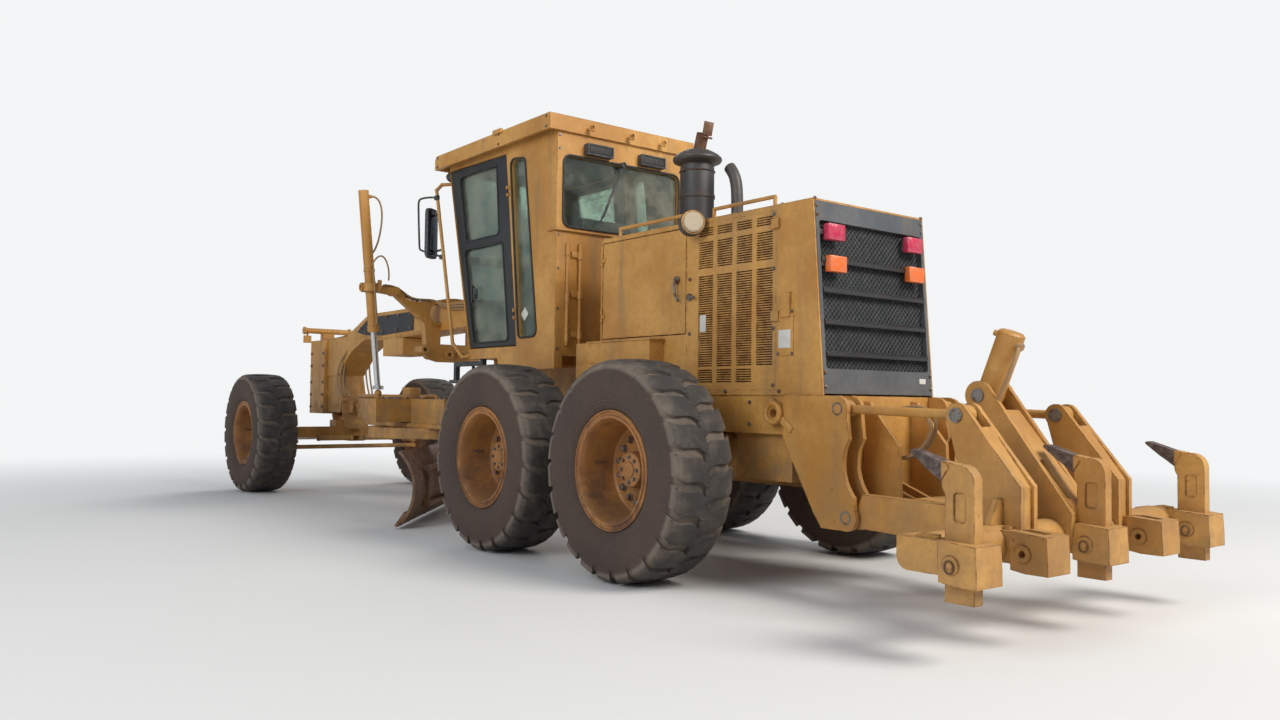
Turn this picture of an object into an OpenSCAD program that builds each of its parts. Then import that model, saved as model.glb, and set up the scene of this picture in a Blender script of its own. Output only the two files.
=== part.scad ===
// Motor grader: six wheels, tandem drive, articulated frame, cab, blade on its circle and a rear ripper.
// Millimetres. +X is forward, +Y is left, +Z is up. The ground is at z = 0.

/* [Overall] */
// Height of every wheel axis above the ground, and the tyre's outer radius
tyre_r = 660; // [600:5:720]
// Distance from the tandem centre to the front axle
wheelbase = 6090; // [5800:10:6300]
// Distance between the two wheels of a tandem
tandem_pitch = 1521; // [1450:1:1600]
// Lateral place of the tandem wheels' centres
rear_track_y = 1010; // [950:5:1080]
// Lateral place of the front wheels' centres
front_track_y = 1040; // [980:5:1100]
// Front end of the machine, measured from the tandem centre
front_end_x = 6905; // [6800:5:7050]
// Rear end of the ripper, measured from the tandem centre
rear_end_x = -3170; // [-3300:5:-3000]

/* [Tyres and rims] */
// Width of a rim over its flanges
rim_w = 379; // [360:1:400]
// Width of a tyre
tyre_w = 445; // [400:5:480]
// Radius of the rim's bead seat
rim_seat_r = 317; // [300:1:330]
// Radius of the rim's flange
rim_flange_r = 356; // [345:1:370]
// Tread lugs on each side of a tyre
lug_count = 22; // [16:1:28]
// Width of a lug along the tread
lug_w = 96; // [60:2:130]
// Depth of the worn tread
tread_depth = 24; // [10:1:40]
// Slant of a lug from the axle's direction, in degrees
lug_slant = 28; // [0:1:40]

/* [Rear frame and hood] */
// Height of the rear frame rails' underside
rail_bottom_z = 887; // [850:1:920]
// Height of the hood's underside
hood_bottom_z = 1112; // [1080:1:1150]
// Height of the hood's top
hood_top_z = 2222; // [2150:1:2300]
// Half width of the hood
hood_half_w = 500; // [460:5:540]
// Front face of the hood
hood_front_x = 312; // [280:1:350]
// Rear face of the hood at its bottom
hood_rear_x = -1782; // [-1850:1:-1700]
// Forward lean of the hood's rear face over its height
hood_rear_lean = 82; // [0:1:120]
// Thickness of the hood's sheet and doors
sheet = 12; // [6:1:20]
// Seam between the engine door and the louvred door
door_seam_x = -626; // [-700:1:-550]
// Rear seam of the louvred door
louvre_rear_x = -1418; // [-1500:1:-1350]
// Underside of the engine door
engine_door_bottom_z = 1500; // [1450:5:1550]

/* [Articulation] */
// Place of the vertical articulation pin
hitch_x = 600; // [500:10:700]
// Radius of the articulation pin
hitch_pin_r = 50; // [40:1:60]

/* [Cab] */
// Half width of the cab
cab_half_w = 620; // [580:5:680]
// Rear wall of the cab
cab_rear_x = 722; // [680:1:760]
// Front of the cab's floor
cab_floor_front_x = 2010; // [1900:5:2100]
// Front of the cab under the roof
cab_top_front_x = 2440; // [2300:5:2500]
// Underside of the cab's sill
cab_sill_z = 1400; // [1360:5:1450]
// Underside of the roof
roof_bottom_z = 3080; // [3000:5:3120]
// Top of the roof
roof_top_z = 3200; // [3150:5:3300]
// Half width of the roof
roof_half_w = 705; // [660:5:750]
// Thickness of the cab's walls and posts
cab_wall = 60; // [40:5:80]

/* [Front frame] */
// Half width of the top beam
beam_half_w = 160; // [140:5:200]
// Top of the beam
beam_top_z = 2000; // [1950:5:2050]
// Half width of the gooseneck's front leg
leg_half_w = 200; // [180:5:240]
// Underside of the front leg
leg_bottom_z = 870; // [840:5:900]

/* [Blade and circle] */
// Place of the circle's centre
circle_x = 3580; // [3500:10:3650]
// Radius of the circle
circle_r = 765; // [740:5:790]
// Underside of the circle
circle_bottom_z = 690; // [670:5:720]
// Turn of the blade from straight across, in degrees
blade_turn = 51; // [0:1:60]
// Length of the blade
blade_len = 3660; // [3600:10:3700]
// Radius of the blade's curve
blade_r = 413; // [400:1:430]
// Thickness of the blade's plate
blade_t = 22; // [15:1:30]
// Height of the cutting edge's lower side above the ground
blade_bottom_z = 18; // [10:1:60]

/* [Drawbar and lift] */
// Place of the drawbar's front ball
ball_x = 5760; // [5700:10:5850]
// Height of the drawbar's front ball
ball_z = 955; // [900:5:1000]
// Place of the lift arms along the frame
lift_x = 3500; // [3400:10:3600]
// Lateral place of the lift cylinders' yokes
yoke_y = 875; // [800:5:950]
// Height of the yokes
yoke_z = 2105; // [2050:5:2150]
// Lateral place of the rod ends on the drawbar
rod_end_y = 776; // [700:1:820]
// Height of the rod ends
rod_end_z = 1112; // [1080:1:1150]
// Outer radius of a lift cylinder's barrel
lift_barrel_r = 48; // [40:1:60]
// Radius of a lift cylinder's rod
lift_rod_r = 28; // [20:1:35]

/* [Steering] */
// Lateral place of the kingpins
kingpin_y = 742; // [700:1:780]
// Length of the steering arms
steer_arm = 230; // [180:5:260]

/* [Ripper] */
// Lateral place of the upper links and towers
ripper_link_y = 450; // [400:5:500]
// Upper link's front pin
upper_front_pin = [-1900, 1040]; // [-2400:1:1200]
// Upper link's rear pin
upper_rear_pin = [-2640, 1020]; // [-2800:1:1200]
// Lower frame's front pin
lower_front_pin = [-1960, 460]; // [-2400:1:1200]
// Height of the ripper beam's centre
ripper_beam_z = 440; // [400:5:460]
// Spacing of the shank pockets
pocket_pitch = 533; // [500:1:560]
// Trunnion of the ripper cylinder
ripper_trunnion = [-2490, 1120]; // [-2800:1:1300]
// Eye of the ripper cylinder's rod on the machine
ripper_eye = [-2220, 450]; // [-2800:1:1300]
// Outer radius of the ripper cylinder's barrel
ripper_barrel_r = 70; // [60:1:80]

/* [Hidden] */
$fn = 64;
x_off = -(front_end_x + rear_end_x) / 2;
axle_z = tyre_r;
rail_in_y = 400;
rail_out_y = 490;
axle_housing_z = 697;
axle_housing_r = 190;
axle_pivot_z = 800;
ball_r = 70;
circle_top_z = circle_bottom_z + 100;
blade_arc_x = blade_r - 100;
blade_arc_z = 325;
rail_z = [150, 455];
tip_pin = [-205, 170];
ripper_pin_r = 30;
ripper_tube_x = -2880;
pocket_pin = [-3050, 415];
pocket_pin_r = 16;
tow_lug_x = -1440;
tow_lug_z = 1010;
tow_lug_bore_r = 26;
steer_base_y = 60;
circle_teeth = 64;
circle_shoe_at = [22, 158];
lift_hole = [194, 1900];
lift_hole_r = 94;
lift_knobs = [[335, 1540], [70, 1500]];
lift_knob_bore_r = 20;
grille_half_w = 462;
grille_bottom_z = 1262;
grille_top_z = 2100;
hood_rail_spans = [[-560, 140], [-1370, -840]];
// Louvre groups: height of the lowest row, number of rows and the column that stays blank
louvre_pitch = 14.4;
louvre_h = 7;
louvre_w = 132;
louvre_first_x = -1392;
louvre_col_pitch = 172;
louvre_groups = [[1190, 6, 0], [1290, 40, -1], [1908, 12, -1], [2112, 4, -1]];
yoke_pin_r = 18;
rod_ball_r = 34;
shank_rear_x = -3120;
shank_front_x = -2980;
door_axis_x = hood_front_x - 24;
door_axis_y = hood_half_w + 8;
door_hinge_z = [1620, 2020];
cab_door_axis = [204, 0, 1540] / norm([204, 0, 1540]);
cab_hinge_at = [200, 1200];
fit = 0.5;
paint = [0.78, 0.58, 0.30];
dark = [0.12, 0.12, 0.13];
steel = [0.75, 0.76, 0.78];
rubber = [0.20, 0.19, 0.18];
slate = [0.33, 0.37, 0.41];
// Rear left, rear right, middle left, middle right, front left and front right wheels
wheel_x = [-tandem_pitch / 2, -tandem_pitch / 2, tandem_pitch / 2, tandem_pitch / 2, wheelbase, wheelbase];
wheel_y = [rear_track_y, -rear_track_y, rear_track_y, -rear_track_y, front_track_y, -front_track_y];
lower_link = upper_rear_pin - upper_front_pin;
lower_rear_pin = lower_front_pin + lower_link;
rod_axis = ripper_trunnion - ripper_eye;
rod_len = norm(rod_axis);

// Box from its low corner to its high corner
module box(lo, hi) {
  translate(lo) cube(hi - lo);
}

// Outline in X and Z, as thick as from y0 to y1
module side_plate(y0, y1) {
  translate([0, y1, 0]) rotate([90, 0, 0]) linear_extrude(y1 - y0) children();
}

// Outline in Y and Z, as thick as from x0 to x1
module cross_plate(x0, x1) {
  translate([x0, 0, 0]) rotate([90, 0, 90]) linear_extrude(x1 - x0) children();
}

// Outline in X and Y, as thick as from z0 to z1
module flat_plate(z0, z1) {
  translate([0, 0, z0]) linear_extrude(z1 - z0) children();
}

// Round bar between two points
module bar(p, q, r) {
  d = q - p;
  len = norm(d);
  translate(p) rotate([0, acos(d[2] / len), atan2(d[1], d[0])]) cylinder(r = r, h = len);
}

// Pin or bore along Y at a point of the X and Z plane
module pin_y(at, y0, y1, r) {
  translate([at[0], y1, at[1]]) rotate([90, 0, 0]) cylinder(r = r, h = y1 - y0);
}

// Bar along X
module pin_x(y, z, x0, x1, r) {
  translate([x0, y, z]) rotate([0, 90, 0]) cylinder(r = r, h = x1 - x0);
}

// Outline with rounded corners about the given centres, listed counter-clockwise
module soft(centres, r) {
  polygon(centres);
  n = len(centres);
  for (i = [0:n - 1]) {
    a = centres[i];
    b = centres[(i + 1) % n];
    out = r * [b[1] - a[1], a[0] - b[0]] / norm(b - a);
    polygon([a, a + out, b + out, b]);
    translate(a) circle(r = r);
  }
}

// Rounded box outline
module soft_box(lo, hi, r) {
  soft([lo + [r, r], [hi[0] - r, lo[1] + r], hi - [r, r], [lo[0] + r, hi[1] - r]], r);
}

// The same on both sides of the machine
module both() {
  children();
  mirror([0, 1, 0]) children();
}

// Whole machine moved so that its box's bottom centre is the origin
module placed() {
  translate([x_off, 0, 0]) children();
}

// Profile of the tyre's carcass: radius and place across
module carcass_profile() {
  w = tyre_w / 2;
  b = rim_w / 2 - 17;
  polygon([[rim_seat_r + fit, -b], [rim_flange_r + 2, -b], [rim_flange_r + 8, -b - 22],
    [rim_flange_r + 40, -w + 10], [470, -w], [560, -w + 6], [612, -w + 26], [tyre_r - tread_depth, -w + 52],
    [tyre_r - tread_depth, w - 52], [612, w - 26], [560, w - 6], [470, w], [rim_flange_r + 40, w - 10],
    [rim_flange_r + 8, b + 22], [rim_flange_r + 2, b], [rim_seat_r + fit, b]]);
}

// Profile that the lugs fill: radius and place across
module tread_profile() {
  w = tyre_w / 2;
  polygon([[600, -w + 26], [560, -w + 6], [575, -w], [632, -w + 12], [tyre_r - 4, -w + 45], [tyre_r, -w + 110],
    [tyre_r, w - 110], [tyre_r - 4, w - 45], [632, w - 12], [575, w], [560, w - 6], [600, w - 26]]);
}

module tyre_shape() {
  rotate_extrude() carcass_profile();
  intersection() {
    rotate_extrude() tread_profile();
    union() {
      for (side = [0, 1]) {
        for (i = [0:lug_count - 1]) {
          rotate([0, 0, (i + side / 2) * 360 / lug_count]) mirror([0, 0, side]) translate([540, 0, 0])
            rotate([0, 90, 0]) linear_extrude(140) polygon([[14, -lug_w / 2 + 14], [14, lug_w / 2 + 4],
              [-tyre_w / 2 - 5, lug_w / 2 + tyre_w / 2 * tan(lug_slant)],
              [-tyre_w / 2 - 5, -lug_w / 2 + tyre_w / 2 * tan(lug_slant)]]);
        }
      }
    }
  }
}

// Wheel shapes stand with their axis along Z, outer side up
module rim_shape() {
  w = rim_w / 2;
  rotate_extrude() polygon([[0, 40], [150, 40], [150, 70], [235, 70], [262, -20], [262, -150], [rim_seat_r - 22, -w],
    [rim_flange_r, -w], [rim_flange_r, -w + 12], [rim_seat_r, -w + 16], [rim_seat_r, w - 16],
    [rim_flange_r, w - 12], [rim_flange_r, w], [rim_seat_r - 22, w], [rim_seat_r - 22, 40],
    [285, 20], [250, 100], [165, 110], [165, 95], [100, 95], [100, 130], [0, 130]]);
}

module wheel_place(i) {
  side = wheel_y[i] > 0 ? 1 : -1;
  translate([wheel_x[i], wheel_y[i], axle_z]) rotate([-90 * side, 0, 0]) children();
}

module tyre(i) color(rubber) placed() wheel_place(i) tyre_shape();
module rim(i) color(paint) placed() wheel_place(i) rim_shape();

module rear_frame() color(paint) placed() {
  both() {
    box([-1840, rail_in_y, rail_bottom_z], [420, rail_out_y, hood_bottom_z]);
    difference() {
      box([-170, rail_in_y, axle_housing_z], [170, rail_out_y, rail_bottom_z]);
      pin_y([0, axle_housing_z], rail_in_y - 1, rail_out_y + 1, axle_housing_r);
    }
    for (y = [ripper_link_y - 80, ripper_link_y + 40]) side_plate(y, y + 30) ripper_mount_outline();
    pin_y(upper_front_pin, ripper_link_y - 60, ripper_link_y + 60, ripper_pin_r);
    pin_y(lower_front_pin, ripper_link_y - 60, ripper_link_y + 60, ripper_pin_r);
    side_plate(200, 230) polygon([[-1830, 1080], [-1880, 1080], [-2080, 840], [-2090, 560], [-1830, 420]]);
    side_plate(53, 83) polygon([[-1830, 640], [-1830, 400], [-2200, 400], [-2262, 420], [-2262, 480], [-2200, 500]]);
    pin_y(ripper_eye, 83, 95, ripper_pin_r);
  }
  box([-1840, -ripper_link_y - 70, 400], [-1800, ripper_link_y + 70, hood_bottom_z]);
  both() difference() {
    pin_y([tow_lug_x, tow_lug_z], rail_out_y, rail_out_y + 50, 62);
    pin_y([tow_lug_x, tow_lug_z], rail_out_y - 1, rail_out_y + 51, tow_lug_bore_r);
  }
  box([-300, -rail_in_y, 900], [-200, rail_in_y, 1090]);
  box([-1500, -rail_in_y, 900], [-1400, rail_in_y, 1090]);
  difference() {
    union() {
      flat_plate(800, 840) hitch_outline();
      flat_plate(1140, 1180) hitch_outline();
      box([hood_front_x, -rail_out_y, 800], [420, rail_out_y, 1180]);
    }
    translate([hitch_x, 0, 700]) cylinder(r = hitch_pin_r + 0.3, h = 600);
  }
}

// Rear ends of the frame's side plates: two bosses with a round bay between them
module ripper_mount_outline() difference() {
  union() {
    polygon([[-1500, 870], [-1500, hood_bottom_z], [-1900, hood_bottom_z], [-1960, 1040], [-2020, 500], [-1960, 390],
      [-1790, 390], [-1735, 464]]);
    translate(upper_front_pin) circle(r = 68);
    translate(lower_front_pin) circle(r = 72);
  }
  translate([-2190, 745]) circle(r = 250);
}

// Fork plate of the articulation hitch, seen from above
module hitch_outline() {
  polygon([[hood_front_x, -300], [420, -300], [hitch_x, -110], [hitch_x, 110], [420, 300], [hood_front_x, 300]]);
  translate([hitch_x, 0]) circle(r = 110);
}

module tandem() color(paint) placed() {
  both() {
    side_plate(540, 740) union() {
      polygon([[-760, 480], [760, 480], [760, 840], [-760, 840]]);
      translate([-760, 660]) circle(r = 180);
      translate([760, 660]) circle(r = 180);
    }
    for (x = [-tandem_pitch / 2, tandem_pitch / 2]) pin_y([x, axle_z], 740, rear_track_y + 39.7, 90);
  }
  pin_y([0, axle_housing_z], -560, 560, axle_housing_r);
}

module hood() color(paint) placed() {
  difference() {
    side_plate(-hood_half_w, hood_half_w) polygon([[hood_front_x, hood_bottom_z], [hood_front_x, hood_top_z - 30],
      [hood_front_x - 30, hood_top_z], [hood_rear_x + hood_rear_lean, hood_top_z], [hood_rear_x, hood_bottom_z]]);
    side_plate(-hood_half_w + sheet, hood_half_w - sheet) polygon([[hood_front_x - sheet, hood_bottom_z - 1],
      [hood_front_x - sheet, hood_top_z - 36], [hood_front_x - 36, hood_top_z - sheet],
      [hood_rear_x + hood_rear_lean - 40, hood_top_z - sheet], [hood_rear_x - 40, hood_bottom_z - 1]]);
    both() {
      box([door_seam_x + 4, hood_half_w - 30, engine_door_bottom_z], [hood_front_x - 20, hood_half_w + 1, 2190]);
      box([louvre_rear_x, hood_half_w - 30, hood_bottom_z + 30], [door_seam_x - 4, hood_half_w + 1, 2190]);
    }
  }
  both() {
    box([hood_rear_x + 10, rail_out_y - 2, hood_bottom_z], [hood_front_x, hood_half_w, hood_bottom_z + 10]);
    for (z = door_hinge_z) for (k = [0, 2]) door_hinge_barrel(z + k * 30.3, 30 - 0.3, 1);
    for (span = hood_rail_spans) hood_rail(span[0], span[1]);
    box([-1540, hood_half_w, 1560], [-1470, hood_half_w + 14, 1700]);
    for (z = [1540, 2080]) box([-1450, hood_half_w, z], [-1390, hood_half_w + 16, z + 60]);
  }
  translate([-770, hood_half_w + 84, 2190]) rotate([90, 0, 60]) difference() {
    cylinder(r = 75, h = 70, center = true);
    translate([0, 0, -36]) cylinder(r = 66, h = 30);
  }
  bar([-770, hood_half_w - 10, 2206], [-770, hood_half_w + 60, 2206], 14);
}

// Hand rail along the hood's top edge
module hood_rail(x0, x1) {
  y = hood_half_w - 40;
  z = hood_top_z + 60;
  bar([x0, y, z], [x1, y, z], 12);
  for (x = [x0, x1]) {
    translate([x, y, z]) sphere(r = 12);
    bar([x, y, hood_top_z - 4], [x, y, z], 12);
  }
}

// One knuckle of a side door's hinge and its leaf; side is 1 on the hood and -1 on the door
module door_hinge_barrel(z, h, side) {
  translate([door_axis_x, door_axis_y, z]) cylinder(r = 7, h = h);
  box([door_axis_x - (side < 0 ? 26 : 0), hood_half_w, z], [door_axis_x + (side > 0 ? 20 : 0), door_axis_y, z + h]);
}

module engine() color(dark) placed() {
  box([-1150, -rail_in_y - 5, hood_bottom_z], [150, rail_in_y + 5, 2000]);
}

module grille_frame() color(slate) placed() {
  w = hood_half_w - sheet;
  difference() {
    side_plate(-w, w) polygon([[hood_rear_x - 1, hood_bottom_z + 10], [hood_rear_x + hood_rear_lean - 5, hood_top_z - sheet],
      [hood_rear_x + hood_rear_lean + 39, hood_top_z - sheet], [hood_rear_x + 40, hood_bottom_z + 10]]);
    translate([hood_rear_x - 200, 0, 0]) rotate([90, 0, 90]) linear_extrude(500)
      soft_box([-grille_half_w, grille_bottom_z], [grille_half_w, grille_top_z], 20);
  }
}

module grille_mesh() color(dark) placed() {
  lean = atan(hood_rear_lean / (hood_top_z - hood_bottom_z));
  low = grille_bottom_z - hood_bottom_z;
  high = grille_top_z - hood_bottom_z;
  translate([hood_rear_x + 22, 0, hood_bottom_z]) rotate([0, lean, 0]) {
    cross_plate(10, 18) soft_box([-grille_half_w + 2, low + 3], [grille_half_w - 2, high], 20);
    for (i = [0:6]) translate([18, -grille_half_w - 24, low + 30 + i * (high - low - 60) / 6 - 22])
      cube([14, 2 * grille_half_w + 48, 44]);
  }
}

// Tail lamps on the grille's frame: red above, amber below
module tail_lamps() color([0.7, 0.1, 0.1]) placed() both() for (z = [1853, 2035]) {
  x = hood_rear_x + hood_rear_lean * (z - hood_bottom_z) / (hood_top_z - hood_bottom_z);
  difference() {
    translate([x - 37, 0, 0]) rotate([90, 0, 90]) linear_extrude(90) soft_box([262, z - 50], [440, z + 50], 12);
    side_plate(261, 441) polygon([[x + 27.5, z - 60], [x + 60, z - 60], [x + 60, z + 60], [x + 36.3, z + 60]]);
  }
}

module stack() color(dark) placed() translate([-150, 0, hood_top_z]) {
  rotate_extrude() polygon([[0, 0], [175, 0], [175, 12], [130, 20], [130, 110], [155, 120], [155, 290], [163, 294], [163, 312],
    [155, 316], [155, 520], [150, 545], [235, 560], [240, 575], [225, 600], [120, 640], [80, 645], [0, 645]]);
  translate([0, -200, 540]) rotate([12, -8, 0]) difference() {
    cylinder(r = 48, h = 300);
    translate([0, 0, 60]) cylinder(r = 43, h = 300);
    translate([-80, -80, 245]) rotate([28, 20, 0]) cube([200, 200, 200]);
  }
}

module side_tanks() color(paint) placed() {
  both() {
    box([-400, hood_half_w, 1330], [280, 620, 1470]);
    box([-420, hood_half_w, 1470], [300, 628, 1480]);
  }
  box([-1500, -rail_in_y - 40, 610], [-1040, rail_in_y + 40, rail_bottom_z]);
}

module engine_door() color(paint) placed() {
  box([door_seam_x + 10, hood_half_w - sheet, engine_door_bottom_z + 6], [door_axis_x - 3, hood_half_w, 2184]);
  for (z = door_hinge_z) door_hinge_barrel(z + 30, 30, -1);
}

module louvre_panel() color(paint) placed() {
  side_plate(hood_half_w - sheet, hood_half_w) difference() {
    translate([louvre_rear_x, hood_bottom_z + 30]) square([door_seam_x - 4 - louvre_rear_x, 2160 - hood_bottom_z]);
    for (col = [0:3]) for (group = louvre_groups) for (row = [0:group[1] - 1]) {
      if (group[2] != col) translate([louvre_first_x + col * louvre_col_pitch, group[0] + row * louvre_pitch])
        square([louvre_w, louvre_h]);
    }
  }
}

module engine_door_left() engine_door();
module engine_door_right() mirror([0, 1, 0]) engine_door();
module louvre_panel_left() louvre_panel();
module louvre_panel_right() mirror([0, 1, 0]) louvre_panel();

module front_frame() color(paint) placed() {
  side_plate(-beam_half_w, beam_half_w) polygon([[2100, 1100], [2700, 1700], [2900, 1750], [4820, 1690], [5280, 1724],
    [5680, 1597], [6060, 1324], [6400, 1323], [6400, leg_bottom_z], [6860, leg_bottom_z], [6860, 1760],
    [5840, 1776], [5200, beam_top_z], [2800, beam_top_z], [2300, 1500], [2100, 1330], [750, 1330], [750, 1000],
    [2100, 1000]]);
  side_plate(-leg_half_w, leg_half_w) polygon([[6400, leg_bottom_z], [6860, leg_bottom_z], [6860, 1760], [6400, 1760]]);
  side_plate(-150, 150) polygon([[5950, 1040], [6000, 890], [6400, 890], [6400, 1330], [6050, 1330]]);
  for (x = [5905, 6235]) cross_plate(x, x + 40)
    polygon([[-110, 700], [110, 700], [150, 900], [150, 1000], [-150, 1000], [-150, 900]]);
  pin_x(0, axle_pivot_z, 5905, 6275, 45);
  difference() {
    box([ball_x, -95, 890], [5960, 95, 1040]);
    translate([ball_x, 0, ball_z]) sphere(r = ball_r + 0.4);
  }
  both() pin_y([ball_x, ball_z], 94, 110, 40);
  for (y = [-300, 275]) translate([6858, y, 1890]) rotate([-90, 0, 0]) cylinder(r = 46, h = 25);
  translate([6858, -276, 1890]) rotate([-90, 0, 0]) cylinder(r = 34, h = 552);
  box([6800, -70, 1750], [6900, 70, 1862]);
  both() box([6862, 200, 1740], [6890, 290, 1830]);
  both() bar([6876, 245, 1820], [6876, 245, 1870], 12);
  box([4300, -beam_half_w, 1520], [4800, beam_half_w, 1700]);
  both() side_plate(beam_half_w, beam_half_w + 8) polygon([[3700, 1740], [4840, 1705], [5290, 1736], [5400, 1750],
    [5400, 1765], [5280, 1752], [4840, 1721], [3700, 1756]]);
  translate([hitch_x, 0, 840.3]) cylinder(r = 105, h = 299.4);
  translate([hitch_x, 0, 790]) cylinder(r = hitch_pin_r, h = 400);
  box([hitch_x, -100, 860], [820, 100, 1120]);
  for (x = [900, 1800]) box([x, -450, 1330], [x + 100, 450, cab_sill_z]);
}

// Dark side panels of the beam
module beam_panels() color(dark) placed() both() side_plate(beam_half_w, beam_half_w + 10)
  polygon([[4060, 1770], [4830, 1748], [5270, 1770], [5500, 1812], [5180, 1960], [4060, 1960]]);

module front_axle() color(paint) placed() difference() {
  union() {
    box([wheelbase - 95, -kingpin_y, 600], [wheelbase + 95, kingpin_y, 720]);
    both() translate([wheelbase, kingpin_y, 600]) cylinder(r = 60, h = 120);
    translate([5945.3, 0, axle_pivot_z]) rotate([0, 90, 0]) cylinder(r = 85, h = 289.4);
    box([wheelbase - 95, -200, 600], [wheelbase + 95, 200, axle_pivot_z]);
    for (z = [560, 622]) box([wheelbase - steer_arm - 30, -steer_base_y - 30, z], [wheelbase - 94, steer_base_y + 30, z + 12]);
    box([wheelbase - 110, -steer_base_y - 30, 560], [wheelbase - 90, steer_base_y + 30, 634]);
    both() translate([wheelbase - steer_arm, steer_base_y, 572]) cylinder(r = 14, h = 50);
  }
  translate([5900, 0, axle_pivot_z]) rotate([0, 90, 0]) cylinder(r = 45.3, h = 400);
  both() {
    translate([wheelbase, kingpin_y, 500]) cylinder(r = 25.3, h = 400);
    translate([wheelbase, kingpin_y, 0]) difference() {
      translate([-100, 0, 599]) cube([200, 100, 122]);
      translate([0, 0, 598]) cylinder(r = 60, h = 124);
    }
  }
}

module knuckle() color(paint) placed() {
  translate([wheelbase, kingpin_y, 0]) {
    translate([0, 0, 560]) cylinder(r = 25, h = 200);
    for (z = [560, 720.3]) translate([0, 0, z]) {
      cylinder(r = 60, h = 39.7);
      translate([-60, 0, 0]) cube([120, 70, 39.7]);
    }
    translate([-60, 62, 560]) cube([120, 40, 200]);
    translate([0, 0, 545]) cylinder(r = 60, h = 30);
    translate([-steer_arm, -20, 545]) cylinder(r = 36, h = 30);
    translate([-steer_arm, -40, 545]) cube([steer_arm - 45, 50, 30]);
  }
  pin_y([wheelbase, axle_z], kingpin_y + 62, front_track_y + 39.7, 60);
}

// Steering cylinder from its pin on the axle to the pin on the steering arm
module steer_barrel() color(paint) placed() translate([wheelbase - steer_arm, steer_base_y, 597]) difference() {
  union() {
    translate([0, 0, -22]) cylinder(r = 30, h = 44);
    bar([0, 10, 0], [0, 40, 0], 20);
    bar([0, 36, 0], [0, 400, 0], 30);
    bar([0, 372, 0], [0, 405, 0], 34);
  }
  translate([0, 0, -23]) cylinder(r = 14.3, h = 46);
  bar([0, 50, 0], [0, 410, 0], 18);
}

// The rod's eye carries its pin and rests on the steering arm
module steer_rod() color(steel) placed() translate([wheelbase - steer_arm, kingpin_y - 20, 597]) {
  translate([0, 0, -21.7]) cylinder(r = 28, h = 40);
  translate([0, 0, -21.7]) cylinder(r = 15, h = 46);
  bar([0, -440, 0], [0, -20, 0], 14);
}

module steer_barrel_left() steer_barrel();
module steer_barrel_right() mirror([0, 1, 0]) steer_barrel();
module steer_rod_left() steer_rod();
module steer_rod_right() mirror([0, 1, 0]) steer_rod();

module knuckle_left() knuckle();
module knuckle_right() mirror([0, 1, 0]) knuckle();

module tie_rod() color(paint) placed() {
  bar([wheelbase - steer_arm, -kingpin_y + 20, 500], [wheelbase - steer_arm, kingpin_y - 20, 500], 24);
  both() translate([wheelbase - steer_arm, kingpin_y - 20, 476]) {
    cylinder(r = 34, h = 50);
    cylinder(r = 20, h = 68.7);
  }
}

module lift_arms() color(paint) placed() {
  difference() {
    both() {
      cross_plate(lift_x - 45, lift_x + 45) lift_arm_outline();
      cross_plate(lift_x - 62, lift_x + 62) difference() {
        translate(lift_hole) circle(r = lift_hole_r + 26);
        polygon([[0, 1700], [beam_half_w, 1700], [beam_half_w, 2100], [0, 2100]]);
      }
      for (k = lift_knobs) pin_x(k[0], k[1], lift_x - 80, lift_x + 80, 44);
      pin_x(640, 2085, lift_x - 75, lift_x + 75, 40);
    }
    box([lift_x - 100, -beam_half_w, 1600], [lift_x + 100, beam_half_w, beam_top_z + 1]);
    both() {
      pin_x(lift_hole[0], lift_hole[1], lift_x - 90, lift_x + 90, lift_hole_r);
      for (k = lift_knobs) pin_x(k[0], k[1], lift_x - 90, lift_x + 90, lift_knob_bore_r);
      lift_tilt() translate([0, 0, -500]) cylinder(r = lift_barrel_r + 12, h = 1000);
      pin_y([lift_x, yoke_z], yoke_y - 86, yoke_y + 86, yoke_pin_r + 0.3);
    }
  }
  both() {
    translate([lift_x, yoke_y, yoke_z - 40]) difference() {
      union() {
        cylinder(r = 88, h = 80);
        for (y = [-85, 85]) translate([0, y, 40]) rotate([90, 0, 0]) cylinder(r = 40, h = 24, center = true);
        for (x = [-70, 70]) translate([x, -60, 0]) cylinder(r = 20, h = 110);
      }
      translate([0, 0, -1]) cylinder(r = lift_barrel_r + 12, h = 120);
      translate([0, 0, 40]) rotate([90, 0, 0]) cylinder(r = yoke_pin_r + 0.3, h = 200, center = true);
    }
  }
}

// One half of the lift arm casting, seen along the machine
module lift_arm_outline() difference() {
  union() {
    polygon([[0, 2060], [96, 2054], [250, 2018], [438, 2002], [560, 2070], [627, 2120], [yoke_y - 70, 2124],
      [yoke_y - 70, 2066], [640, 2050], [520, 1955], [414, 1872], [345, 1790], [322, 1730], [312, 1620], [300, 1520],
      [240, 1448], [158, 1427], [0, 1427]]);
    translate([250, 1510]) circle(r = 62);
  }
  translate([470, 2110]) circle(r = 98);
  translate([452, 1740]) circle(r = 126);
}

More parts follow.
